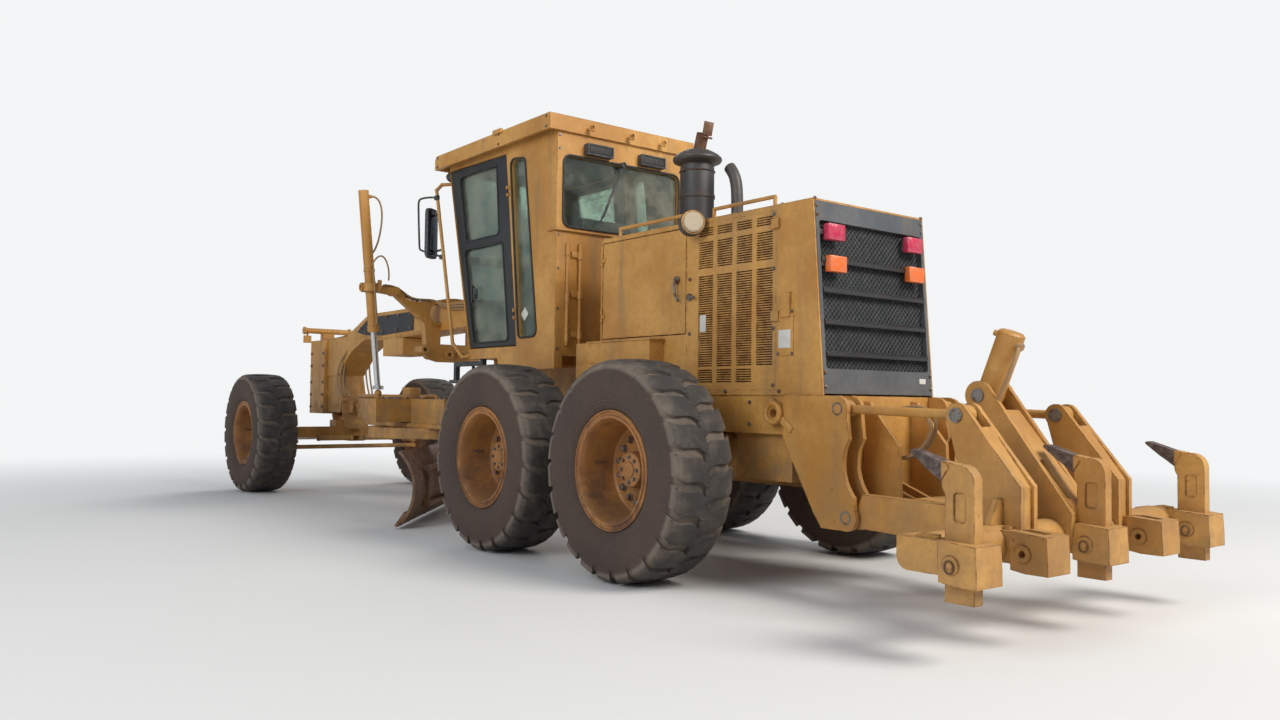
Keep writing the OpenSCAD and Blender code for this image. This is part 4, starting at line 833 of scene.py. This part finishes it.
class GRADER_OT_cab_trim(bpy.types.Operator):
    """Window rubbers, wipers, lamps and mirror faces of the cab"""

    bl_idname = "grader.cab_trim"
    bl_label = "Cab fittings"

    def execute(self, context):
        s = sizes()
        g = s.gasket_radius
        rear = rounded([(-0.50, 2.43), (0.50, 2.43), (0.50, 2.845), (-0.50, 2.845)], 0.064)
        ring = rod([at(0.717, y, z) for y, z in rear], g, "rear_window_rubber", True, 2, False)
        fit(ring, "front_body", "rubber", 60)
        quarter = rounded([(1.028, 1.604), (1.190, 1.600), (1.340, 2.925), (1.222, 2.910)], 0.052)
        panes = (
            rounded([(1.610, 2.440), (2.090, 2.440), (2.215, 2.945), (1.660, 2.945)], 0.037),
            rounded([(1.440, 1.570), (1.930, 1.570), (2.105, 2.300), (1.545, 2.300)], 0.037),
        )
        for side, word in SIDES:
            ring = rod(
                [at(x, side * (CAB_Y + 0.002), z) for x, z in quarter], g, "quarter_rubber_" + word, True, 2,
                False,
            )
            fit(ring, "front_body", "rubber", 60)
            rings = [
                rod([at(x, side * (CAB_Y - 0.004), z) for x, z in p], g * 0.8, "ring", True, 2, False)
                for p in panes
            ]
            fit(joined("door_rubber_" + word, rings), "cab_door_" + word, "rubber", 60)
            turn = Matrix.Rotation(math.radians(45), 4, "Y")
            mark = block((0.075, 0.003, 0.075), at(1.181, side * (CAB_Y - 0.022), 1.733), 0.001, turn)
            fit(named("blank_mark_" + word, mark), "front_body", "plate")
            glass = block((0.004, 0.150, 0.400), Vector((-0.0025, 0, 0)), 0.002)
            toed_in = Matrix.Rotation(side * math.radians(35), 4, "Z")
            glass.data.transform(Matrix.Translation(at(2.560, side * (CAB_Y + 0.09), 2.52)) @ toed_in)
            fit(named("mirror_face_" + word, glass), "front_body", "mirror")
            lens = block((0.008, 0.205, 0.056), at(0.668, side * 0.259, 2.972), 0.004)
            fit(named("rear_work_lens_" + word, lens), "front_body", "rubber")
            y = side * (CAB_Y + 0.085)
            loop = [
                (2.502, 0, 2.830), (2.60, 0, 2.852), (2.78, side * 0.01, 2.868), (2.848, side * 0.01, 2.860),
                (2.846, side * 0.01, 2.79), (2.830, side * 0.01, 2.62), (2.812, side * 0.01, 2.45),
                (2.805, side * 0.01, 2.405), (2.76, side * 0.01, 2.390), (2.58, 0, 2.345), (2.383, 0, 2.295),
            ]
            guard = joined("mirror_guard_" + word, [
                rod([at(a, y + b, c) for a, b, c in loop], 0.009, "loop"),
                block((0.050, 0.034, 0.040), at(2.385, y, 2.295), 0.006),
                block((0.050, 0.034, 0.040), at(2.504, y, 2.830), 0.006),
            ])
            fit(guard, "front_body", "trim", 60)
            ends = [at(0.704, side * 0.412, z) for z in (1.475, 2.250)]
            post = [rod(ends, 0.014, "post", False, 3, False)]
            for z in (1.56, 1.86, 2.16):
                post.append(disc(0.021, 0.070, at(0.703, side * 0.412, z), (0, 0, 1), 0.2, 0.1))
                post.append(block((0.014, 0.080, 0.046), at(0.714, side * 0.446, z), 0.003))
            fit(joined("rear_post_" + word, post), "front_body", "paint", 40)
            lock = joined("door_lock_" + word, [
                block((0.034, 0.026, 0.090), at(1.925, side * (CAB_Y + 0.004), 1.945), 0.005),
                disc(0.016, 0.010, at(1.925, side * (CAB_Y + 0.020), 1.925), (0, side, 0)),
            ])
            fit(lock, "cab_door_" + word, "trim")
        wiper = joined("rear_wiper", [
            rod(path((0.706, 0.02, 2.895), (0.700, 0.10, 2.70), (0.704, 0.20, 2.47)), 0.006, "arm"),
            rod([at(0.706, 0.10, 2.72), at(0.706, 0.25, 2.38)], 0.007, "blade", False, 1, False),
            disc(0.022, 0.030, at(0.702, 0.02, 2.905), (-1, 0, 0)),
        ])
        fit(wiper, "front_body", "trim")
        lamps = [
            disc(0.045, 0.060, at(2.505, y, 3.040), (0.94, 0, -0.34)) for y in (-0.56, -0.40, 0.40, 0.56)
        ]
        fit(joined("front_work_lamps", lamps), "front_body", "trim")
        lining = joined("roof_lining", [
            block((1.360, 1.120, 0.016), at(1.480, 0, 3.063), 0.004),
            block((0.050, 1.120, 0.050), at(0.815, 0, 3.030), 0.010),
            block((0.900, 0.160, 0.030), at(1.520, 0, 3.042), 0.010),
        ])
        fit(lining, "front_body", "lining")
        eyes = []
        for y in (0.351, -0.030, -0.351):
            eyes.append(disc(0.017, 0.024, at(0.655, y, 3.135), (-1, 0, 0), 0.3, 0.6))
            eyes.append(block((0.020, 0.044, 0.014), at(0.658, y, 3.112), 0.003))
        eyes += [block((0.135, 0.026, 0.036), at(1.45, side * 0.714, 3.200), 0.006) for side in (1, -1)]
        fit(joined("roof_eyes", eyes), "front_body", "paint")
        seams = []
        for side in (1, -1):
            seams += grid((0, side, 0), (0.75, 1.45, 2.50), (side * 0.705,), (3.10, 3.18))
            seams += grid((-1, 0, 0), (0.722,), (side * 0.598,), (1.45, 1.75, 2.05, 2.30, 2.95, 3.05))
        bolted("cab_bolts", 0.008, 0.007, seams, "front_body")
        return {"FINISHED"}


class GRADER_OT_hood_fittings(bpy.types.Operator):
    """Latches, bolts, plates and seams of the hood"""

    bl_idname = "grader.hood_fittings"
    bl_label = "Hood fittings"

    def execute(self, context):
        bolts = []
        for side in (1, -1):
            outward, edge = (0, side, 0), (side * HOOD_Y,)
            bolts += grid((0, 0, 1), (-1.70, -1.45, -1.05, -0.63, -0.25, 0.10, 0.28), (side * 0.484,), (
                2.220,
            ))
            bolts += grid(outward, (-1.45, -1.0, -0.5, 0.0), edge, (1.135,))
            bolts += grid(outward, (-1.40, -0.66), edge, (1.17, 1.50, 1.85, 2.17))
            for z in (1.16, 1.24, 2.13, 2.18):
                bolts.append((at(hood_rear(z) - 0.001, side * 0.475, z), (-1, 0, 0)))
            bolts += grid(outward, (-1.75, -1.55, -1.20, -0.80, -0.40, 0.0, 0.35), (side * 0.49,), (
                0.94, 1.07,
            ))
        bolted("hood_bolts", 0.009, 0.008, bolts, "rear_body")
        for side, word in SIDES:
            pull = path(
                (-0.535, side * 0.500, 1.855), (-0.535, side * 0.532, 1.850), (-0.540, side * 0.535, 1.83),
                (-0.548, side * 0.532, 1.74), (-0.575, side * 0.530, 1.715),
            )
            handle = joined("door_latch_" + word, [
                rod(pull, 0.009, "pull"),
                disc(0.026, 0.014, at(-0.535, side * 0.506, 1.855), (0, side, 0)),
            ])
            fit(handle, "engine_door_" + word, "zinc")
            pull = path(
                (-0.660, side * 0.500, 1.735), (-0.660, side * 0.525, 1.735), (-0.700, side * 0.530, 1.735),
                (-0.730, side * 0.526, 1.728),
            )
            lever = joined("panel_latch_" + word, [
                rod(pull, 0.008, "pull"),
                disc(0.024, 0.012, at(-0.660, side * 0.505, 1.735), (0, side, 0)),
            ])
            fit(lever, "rear_body", "zinc")
            cover = block((0.130, 0.006, 0.265), at(-1.497, side * 0.502, 1.47), 0.002)
            fit(named("cover_panel_" + word, cover), "rear_body", "paint")
            # Dark sheets just inside the hood's sides, behind the louvres: painted shade standing in for the
            # shadowed inside of the hood
            shade_sheet = block((0.790, 0.004, 1.030), at(-1.012, side * 0.468, 1.672), 0.001)
            fit(named("louvre_shade_sheet_" + word, shade_sheet), "rear_body", "louvre_dark")
            skirt = joined("tank_skirt_" + word, [
                block((0.850, 0.116, 0.245), at(0.020, side * 0.560, 1.208), 0.007),
                block((0.164, 0.116, 0.150), at(0.363, side * 0.560, 1.398), 0.007),
                block((0.800, 0.006, 0.200), at(0.010, side * 0.619, 1.215), 0.002),
            ])
            fit(skirt, "rear_body", "paint")
            eye = [at(TOW[0] + u, side * 0.543, TOW[1] + v) for u, v in circle_of(24, 0.053)]
            leaning = Matrix.Rotation(math.radians(-38), 4, "Y")
            hook = joined("tow_ring_" + word, [
                rod(eye, 0.016, "ring", True, 3, False),
                block(
                    (0.150, 0.040, 0.046), at(TOW[0] - 0.075, side * 0.515, TOW[1] - 0.052), 0.010, leaning,
                ),
                block(
                    (0.070, 0.040, 0.050), at(TOW[0] + 0.028, side * 0.512, TOW[1] + 0.052), 0.010, leaning,
                ),
            ])
            fit(hook, "rear_body", "ripper_paint", 45)
            tags = joined("blank_labels_" + word, [
                block((0.056, 0.002, 0.105), at(-0.787, side * 0.5015, 1.56), 0.0008),
                block((0.095, 0.002, 0.105), at(-1.495, side * 0.5060, 1.435), 0.0008),
                block((0.078, 0.002, 0.100), at(0.145, side * 0.6235, 1.268), 0.0008),
                block((0.046, 0.002, 0.115), at(-1.700, side * 0.4915, 1.003), 0.0008),
            ])
            fit(tags, "rear_body", "plate")
            corners = grid((0, side, 0), (-1.551, -1.443), (side * 0.505,), (1.350, 1.590))
            bolted("cover_bolts_" + word, 0.007, 0.006, corners, "rear_body")
        lens = disc(0.064, 0.012, at(-0.800, HOOD_Y + 0.1015, 2.190), (-0.866, 0.5, 0), 0.08, -0.5)
        fit(named("work_lamp_lens", lens), "rear_body", "warm_lens")
        shell = disc(0.0785, 0.092, at(-0.7595, HOOD_Y + 0.078, 2.190), (-0.866, 0.5, 0), 0.15, 0.05)
        fit(named("work_lamp_shell", shell), "rear_body", "trim")
        filler = joined("filler_cap", [
            disc(0.055, 0.040, at(0.12, -0.20, 2.240), (0, 0, 1)),
            disc(0.040, 0.020, at(0.12, -0.20, 2.262), (0, 0, 1)),
        ])
        fit(filler, "rear_body", "trim")
        return {"FINISHED"}


class GRADER_OT_stack_fittings(bpy.types.Operator):
    """Clamp bands and ribs of the air cleaner on the hood"""

    bl_idname = "grader.stack_fittings"
    bl_label = "Air cleaner bands"

    def execute(self, context):
        profile = [
            (0, 0), (0.138, 0), (0.138, 0.012), (0.104, 0.020), (0.104, 0.108), (0.122, 0.116),
            (0.122, 0.288), (0.1285, 0.292), (0.1285, 0.314), (0.122, 0.318), (0.122, 0.505), (0.118, 0.530),
            (0.168, 0.552), (0.177, 0.566), (0.175, 0.580), (0.150, 0.604), (0.095, 0.634), (0.060, 0.642),
            (0, 0.643),
        ]
        cleaner = revolved("air_cleaner", profile, Vector((0, 0, 0)), 1, 72)
        upright = Matrix.Rotation(math.radians(90), 4, "X")
        cleaner.data.transform(Matrix.Translation(at(-0.150, 0, HOOD_TOP)) @ upright)
        fit(cleaner, "rear_body", "stack_black", 32)
        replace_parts(cleaner, "stack")
        lean = Vector((-0.42, 0.10, 0.90)).normalized()
        foot = at(-0.165, 0, HOOD_TOP + 0.625)
        stub = joined("rain_flap", [
            disc(0.044, 0.150, foot + lean * 0.060, lean, 0.10, 0.75),
            block(
                (0.010, 0.085, 0.095), foot + lean * 0.150 + Vector((-0.050, 0, 0.010)), 0.003,
                Matrix.Rotation(math.radians(-14), 4, "Y"),
            ),
            rod(
                [foot + lean * 0.128 + Vector((-0.046, y, -0.03)) for y in (-0.045, 0.045)], 0.008, "pivot",
                False, 2, False,
            ),
        ])
        fit(stub, "rear_body", "blade_steel")
        bend = [
            (-0.46, HOOD_TOP - 0.002), (-0.46, 2.32), (-0.46, 2.46), (-0.455, 2.58), (-0.43, 2.66),
            (-0.38, 2.715),
        ]
        pipe = joined("exhaust_pipe", [
            rod([at(x, -0.10, z) for x, z in bend], 0.042, "pipe", False, 5),
            disc(0.055, 0.022, at(-0.46, -0.10, HOOD_TOP + 0.010), (0, 0, 1), 0.1, 0.1),
        ])
        fit(pipe, "rear_body", "stack_black", 50)
        bands = []
        for z, r in ((2.352, 0.1255), (2.705, 0.1255)):
            ring = [at(-0.150 + u, v, z) for u, v in circle_of(40, r)]
            bands.append(rod(ring, 0.005, "band", True, 2, False))
            bands.append(block((0.03, 0.03, 0.02), at(-0.15, r + 0.008, z), 0.004))
        fit(joined("cleaner_bands", bands), "rear_body", "stack_black")
        feet = [(at(-0.150 + u, v, HOOD_TOP + 0.012), (0, 0, 1)) for u, v in circle_of(8, 0.121, 0.5)]
        bolted("cleaner_bolts", 0.010, 0.010, feet, "rear_body")
        return {"FINISHED"}


class GRADER_OT_hydraulics(bpy.types.Operator):
    """Hoses, pipes and fittings of the cylinders and frame"""

    bl_idname = "grader.hydraulics"
    bl_label = "Hoses"

    def execute(self, context):
        r = sizes().hose_radius
        lean = math.atan((YOKE[0] - ROD_END[0]) / (YOKE[1] - ROD_END[1]))
        for side, word in SIDES:

            def on_barrel(along, x, out):
                y = YOKE[0] + along * math.sin(lean) + out * math.cos(lean)
                z = YOKE[1] + along * math.cos(lean) - out * math.sin(lean)
                return at(LIFT_X + x, side * y, z)

            pipe = [
                (-0.36, -0.050, 0), (-0.36, -0.085, 0), (-0.30, -0.090, 0), (-0.10, -0.090, 0),
                (0.05, -0.105, 0), (0.16, -0.090, 0),
            ]
            loop = [(0.86, 0, -0.070), (0.865, 0, -0.11), (0.83, 0.01, -0.165), (0.70, 0.02, -0.185),
                    (0.52, 0.02, -0.150), (0.38, 0.01, -0.095), (0.33, 0, -0.050)]
            back = [(0.20, -0.060, 0), (0.27, -0.09, -0.03), (0.31, -0.10, -0.09), (0.24, -0.09, -0.15),
                    (0.12, -0.08, -0.165), (0.06, -0.06, -0.160)]
            runs = [rod([on_barrel(*point) for point in route], radius)
                    for route, radius in ((pipe, 0.009), (loop, r * 0.8), (back, r * 0.7))]
            fit(joined("lift_hoses_" + word, runs), "lift_barrel_" + word, "ochre_hose", 60)
        for side, word, count in ((1, "left", 3), (-1, "right", 2)):
            lines = []
            for i in range(count):
                y, step = 0.173 + 0.012 * (i % 2), 0.024 * i
                x = LIFT_X - 0.03 + 0.024 * i
                route = [
                    (1.90, y, 1.29 - step), (2.12, y, 1.315 - step), (2.30, y, 1.455 - step),
                    (2.55, y, 1.705 - step), (2.80, y, 1.955 - step), (3.00, y, 1.972 - step),
                    (3.30, y, 1.975 - step), (x - 0.06, y + 0.012, 1.995), (x, 0.235, 2.033),
                    (x, 0.33, 2.026), (x, 0.47, 2.024), (x, 0.56, 2.088), (x, 0.64, 2.137), (x, 0.745, 2.136),
                ]
                lines.append(rod([at(a, side * b, c) for a, b, c in route], r, "line"))
            if side > 0:
                route = [
                    (1.95, 1.345), (2.10, 1.346), (2.30, 1.517), (2.60, 1.817), (2.80, 2.012), (3.20, 2.012),
                    (4.2, 2.012), (5.1, 2.012), (5.35, 1.962), (5.80, 1.803), (6.4, 1.781), (6.75, 1.776),
                ]
                for y in (-0.06, -0.02, 0.02, 0.06):
                    lines.append(rod([at(x, y, z) for x, z in route], 0.010, "line"))
            fit(joined("frame_hoses_" + word, lines), "front_body", "ochre_hose", 60)
        lines = []
        for i, y in enumerate((-0.165, -0.125, 0.115, 0.145, 0.175, 0.205)):
            sag = 0.012 * (i % 3)
            route = path(
                (5.50, y * 0.5, 1.765), (5.66, y * 0.6, 1.715), (5.84 + sag, y * 0.8, 1.585),
                (5.925 + sag, y, 1.42), (5.915 + sag, y * 1.1, 1.25), (5.860, y * 1.1, 1.13),
                (5.800 - sag, y, 1.075),
            )
            lines.append(rod(route, r * 0.95, "line"))
        fit(joined("neck_hoses", lines), "front_body", "ochre_hose", 60)
        tilt = math.atan2(RIPPER_EYE[0] - RIPPER_FOOT[0], RIPPER_EYE[1] - RIPPER_FOOT[1])

        def on_ripper(along, out, y):
            x = RIPPER_EYE[0] + along * math.sin(tilt) + out * math.cos(tilt)
            return at(x, y, RIPPER_EYE[1] + along * math.cos(tilt) - out * math.sin(tilt))

        pipe = [(0.300, -0.072, 0.020), (0.290, -0.100, 0.06), (0.20, -0.115, 0.085), (0.05, -0.11, 0.090),
                (-0.14, -0.095, 0.088), (-0.24, -0.085, 0.070), (-0.26, -0.072, 0.035)]
        lines = [
            rod([on_ripper(*point) for point in pipe], r * 0.9),
            disc(0.020, 0.040, on_ripper(0.300, -0.074, 0.020), (1, 0, 0.4), 0.2, 0.2),
        ]
        fit(joined("ripper_hoses", lines), "ripper_barrel", "ochre_hose", 60)
        for i, y in enumerate((0.10, 0.145)):
            droop = 0.018 * i
            route = [
                (-1.835, 1.02), (-1.93, 1.03), (-2.06, 1.06 - droop), (-2.17, 1.055 - droop),
                (-2.245, 0.98 - droop), (-2.215, 0.88), (-2.14, 0.80), (-2.03, 0.76), (-1.90, 0.775),
                (-1.835, 0.78),
            ]
            lines = [at(x, y, z) for x, z in route]
            fit(rod(lines, r, "ripper_loop_%d" % (i + 1)), "rear_body", "ochre_hose", 60)
        return {"FINISHED"}


class GRADER_OT_front_fittings(bpy.types.Operator):
    """Lamps and bolts of the front frame, drawbar and blade"""

    bl_idname = "grader.front_fittings"
    bl_label = "Front fittings"

    def execute(self, context):
        lenses = [
            disc(0.038, 0.014, at(6.887, side * 0.245, 1.785), (1, 0, 0), 0.1, -0.4) for side in (1, -1)
        ]
        fit(joined("head_lamp_lenses", lenses), "front_body", "clear_lens")
        panel_bolts = (
            (4.11, 1.80), (4.11, 1.93), (4.40, 1.94), (4.70, 1.94), (5.0, 1.94), (5.17, 1.93), (5.38, 1.85),
            (5.25, 1.80), (4.80, 1.785), (4.45, 1.79),
        )
        bolts = []
        for side in (1, -1):
            bolts += [(at(x, side * 0.170, z), (0, side, 0)) for x, z in panel_bolts]
            bolts += grid((0, side, 0), (6.44, 6.82), (side * 0.200,), (0.95, 1.10, 1.25, 1.45, 1.60))
            bolts += grid((1, 0, 0), (6.860,), (side * 0.08, side * 0.15), (0.95, 1.30, 1.65))
            bolts += grid((0, 0, 1), (3.46, 3.54), (side * 0.30, side * 0.38), (2.012,))
        bolted("frame_bolts", sizes().bolt_radius, 0.012, bolts, "front_body")
        bolts = []
        for side in (1, -1):
            bolts += grid((0, 0, 1), (2.80, 2.90, 3.05, 3.86, 3.95, 4.05, 4.15), (side * 0.435,), (1.062,))
            bolts += grid((0, 0, 1), (3.43, 3.57), (side * 0.60, side * 0.70), (1.062,))
        bolts += [(at(4.42 + u, v, 1.062), (0, 0, 1)) for u, v in circle_of(8, 0.122)]
        bolted("drawbar_bolts", sizes().bolt_radius, 0.012, bolts, "drawbar")
        turn = Matrix.Translation(at(CIRCLE_X, 0, 0)) @ Matrix.Rotation(BLADE_TURN, 4, "Z")
        heads = []
        slope = math.atan2(0.073, 0.106)
        for i in range(18):
            y = -1.74 + i * 3.48 / 17
            for k in (0.35, 0.75):
                p = Vector((-0.051 + 0.073 * k, y, 0.124 - 0.106 * k))
                n = Vector((-math.cos(slope), 0, -math.sin(slope)))
                heads.append((turn @ (p + n * 0.001), turn.to_3x3() @ n))
        bolted("edge_bolts", 0.012, 0.010, heads, "blade", "blade_steel")
        return {"FINISHED"}


class GRADER_OT_ripper_fittings(bpy.types.Operator):
    """Pin caps and rings of the ripper"""

    bl_idname = "grader.ripper_fittings"
    bl_label = "Ripper fittings"

    def execute(self, context):
        caps = []
        for side in (1, -1):
            for x, z in ((-2.640, 1.020), (-2.700, 0.440)):
                for y in (0.45 + 0.075, 0.45 - 0.075):
                    caps.append(
                        disc(0.036, 0.012, at(x, side * y, z), (0, side if y > 0.45 else -side, 0), 0.25, 0.3)
                    )
        for side in (1, -1):
            caps.append(
                disc(0.036, 0.012, at(RIPPER_EYE[0], side * 0.114, RIPPER_EYE[1]), (0, side, 0), 0.25, 0.3)
            )
        fit(joined("ripper_pin_caps", caps), "ripper_carriage", "zinc")
        caps = []
        for side in (1, -1):
            for x, z in ((-1.900, 1.040), (-1.960, 0.460)):
                caps.append(disc(0.036, 0.012, at(x, side * 0.516, z), (0, side, 0), 0.25, 0.3))
        fit(joined("frame_pin_caps", caps), "rear_body", "zinc")
        rings = []
        for i in (-2, 0, 2):
            for side in (1, -1):
                y = i * POCKET_PITCH + side * 0.106
                ring = [at(-3.050 + u * 0.022, y, 0.408 + v * 0.026) for u, v in circle_of(20, 1.0)]
                rings.append(rod(ring, 0.004, "ring", True, 1, False))
        fit(joined("pin_rings", rings), "ripper_carriage", "blade_steel")
        return {"FINISHED"}


class GRADER_OT_studio(bpy.types.Operator):
    """Pale floor, soft lamps and the camera"""

    bl_idname = "grader.studio"
    bl_label = "Studio"

    def execute(self, context):
        clear_selection()
        scene = context.scene
        bpy.ops.mesh.primitive_grid_add(x_subdivisions=8, y_subdivisions=8, size=240, location=(0, 0, 0))
        floor = context.object
        floor.name = "studio_floor"
        bpy.ops.object.transform_apply(location=True, scale=True)
        f = Finish("studio_floor")
        shade = f.band(f.noise(0.35, 3), 0.3, 0.7, 0.0, 0.25)
        f.set(Base_Color=f.mix(shade, (0.70, 0.70, 0.69, 1), (0.66, 0.66, 0.65, 1)), Roughness=0.85)
        x, y = f.axis("X"), f.axis("Y")
        away = f.math("SQRT", f.math("ADD", f.math("MULTIPLY", x, x), f.math("MULTIPLY", y, y)))
        haze = f.add("Emission", {"Color": (0.90, 0.91, 0.92, 1)}).outputs[0]
        f.put(f.output.inputs[0], f.blend(f.band(away, 4.0, 13.0), f.shader.outputs[0], haze))
        floor.data.materials.append(f.material)
        world = scene.world or bpy.data.worlds.new("studio_air")
        scene.world = world
        world.use_nodes = True
        tree = world.node_tree
        tree.nodes.clear()
        out = tree.nodes.new("ShaderNodeOutputWorld")
        light = tree.nodes.new("ShaderNodeBackground")
        light.inputs["Color"].default_value = (0.80, 0.86, 0.95, 1)
        light.inputs["Strength"].default_value = 0.42
        seen = tree.nodes.new("ShaderNodeBackground")
        seen.inputs["Color"].default_value = (0.90, 0.91, 0.92, 1)
        seen.inputs["Strength"].default_value = 1.0
        path = tree.nodes.new("ShaderNodeLightPath")
        gloss = tree.nodes.new("ShaderNodeMath")
        gloss.operation = "MAXIMUM"
        tree.links.new(path.outputs["Is Camera Ray"], gloss.inputs[0])
        tree.links.new(path.outputs["Is Transmission Ray"], gloss.inputs[1])
        mix = tree.nodes.new("ShaderNodeMixShader")
        tree.links.new(gloss.outputs[0], mix.inputs[0])
        tree.links.new(light.outputs[0], mix.inputs[1])
        tree.links.new(seen.outputs[0], mix.inputs[2])
        tree.links.new(mix.outputs[0], out.inputs[0])
        for name, place, target, size, power, colour in (
            ("key_lamp", (-13, -3, 10), (-2, 0, 1), 7, 1900, (1.0, 0.955, 0.89)),
            ("side_lamp", (-4, 15, 8), (0, 0, 1), 9, 1000, (0.96, 0.98, 1.0)),
            ("far_lamp", (12, -10, 9), (1, 0, 1), 9, 1100, (1.0, 0.97, 0.93)),
        ):
            lamp = bpy.data.lights.new(name, "AREA")
            lamp.shape = "DISK"
            lamp.size = size
            lamp.energy = power
            lamp.color = colour
            holder = bpy.data.objects.new(name, lamp)
            holder.location = place
            holder.rotation_euler = (Vector(target) - Vector(place)).to_track_quat("-Z", "Y").to_euler()
            scene.collection.objects.link(holder)
        eye = bpy.data.cameras.new("camera")
        eye.sensor_width = 36
        eye.lens = LENS_MM
        eye.clip_end = 500
        holder = bpy.data.objects.new("camera", eye)
        right = Vector((-0.6185, -0.7857, 0.0122))
        up = Vector((-0.0242, 0.0346, 0.9991))
        back = right.cross(up).normalized()
        up = back.cross(right.normalized())
        turn = Matrix((right.normalized(), up, back)).transposed().to_4x4()
        holder.matrix_world = Matrix.Translation(CAMERA_AT) @ turn
        scene.collection.objects.link(holder)
        scene.camera = holder
        scene.view_settings.view_transform = "Standard"
        return {"FINISHED"}


OPERATORS = (
    GRADER_OT_studio, GRADER_OT_finishes, GRADER_OT_wheels, GRADER_OT_wheel_nuts, GRADER_OT_grille,
    GRADER_OT_cab_trim,
    GRADER_OT_hood_fittings, GRADER_OT_stack_fittings, GRADER_OT_hydraulics, GRADER_OT_front_fittings,
    GRADER_OT_ripper_fittings,
)


class GRADER_PT_panel(bpy.types.Panel):
    """Lists the grader's sizes, colours and makers"""

    bl_idname = "GRADER_PT_panel"
    bl_label = "Motor grader"
    bl_space_type = "VIEW_3D"
    bl_region_type = "UI"
    bl_category = "Grader"

    def draw(self, context):
        for holder in (context.scene.grader_sizes, context.scene.grader_colours):
            for name in holder.__annotations__:
                self.layout.prop(holder, name)
        for kind in OPERATORS:
            self.layout.operator(kind.bl_idname)


CLASSES = (GraderSizes, GraderColours) + OPERATORS + (GRADER_PT_panel,)


def register():
    for kind in CLASSES:
        bpy.utils.register_class(kind)
    bpy.types.Scene.grader_sizes = bpy.props.PointerProperty(type=GraderSizes)
    bpy.types.Scene.grader_colours = bpy.props.PointerProperty(type=GraderColours)


def unregister():
    del bpy.types.Scene.grader_colours
    del bpy.types.Scene.grader_sizes
    for kind in reversed(CLASSES):
        bpy.utils.unregister_class(kind)


def main():
    register()
    clear_selection()
    for kind in OPERATORS:
        group, action = kind.bl_idname.split(".")
        getattr(getattr(bpy.ops, group), action)()


if __name__ == "__main__":
    main()
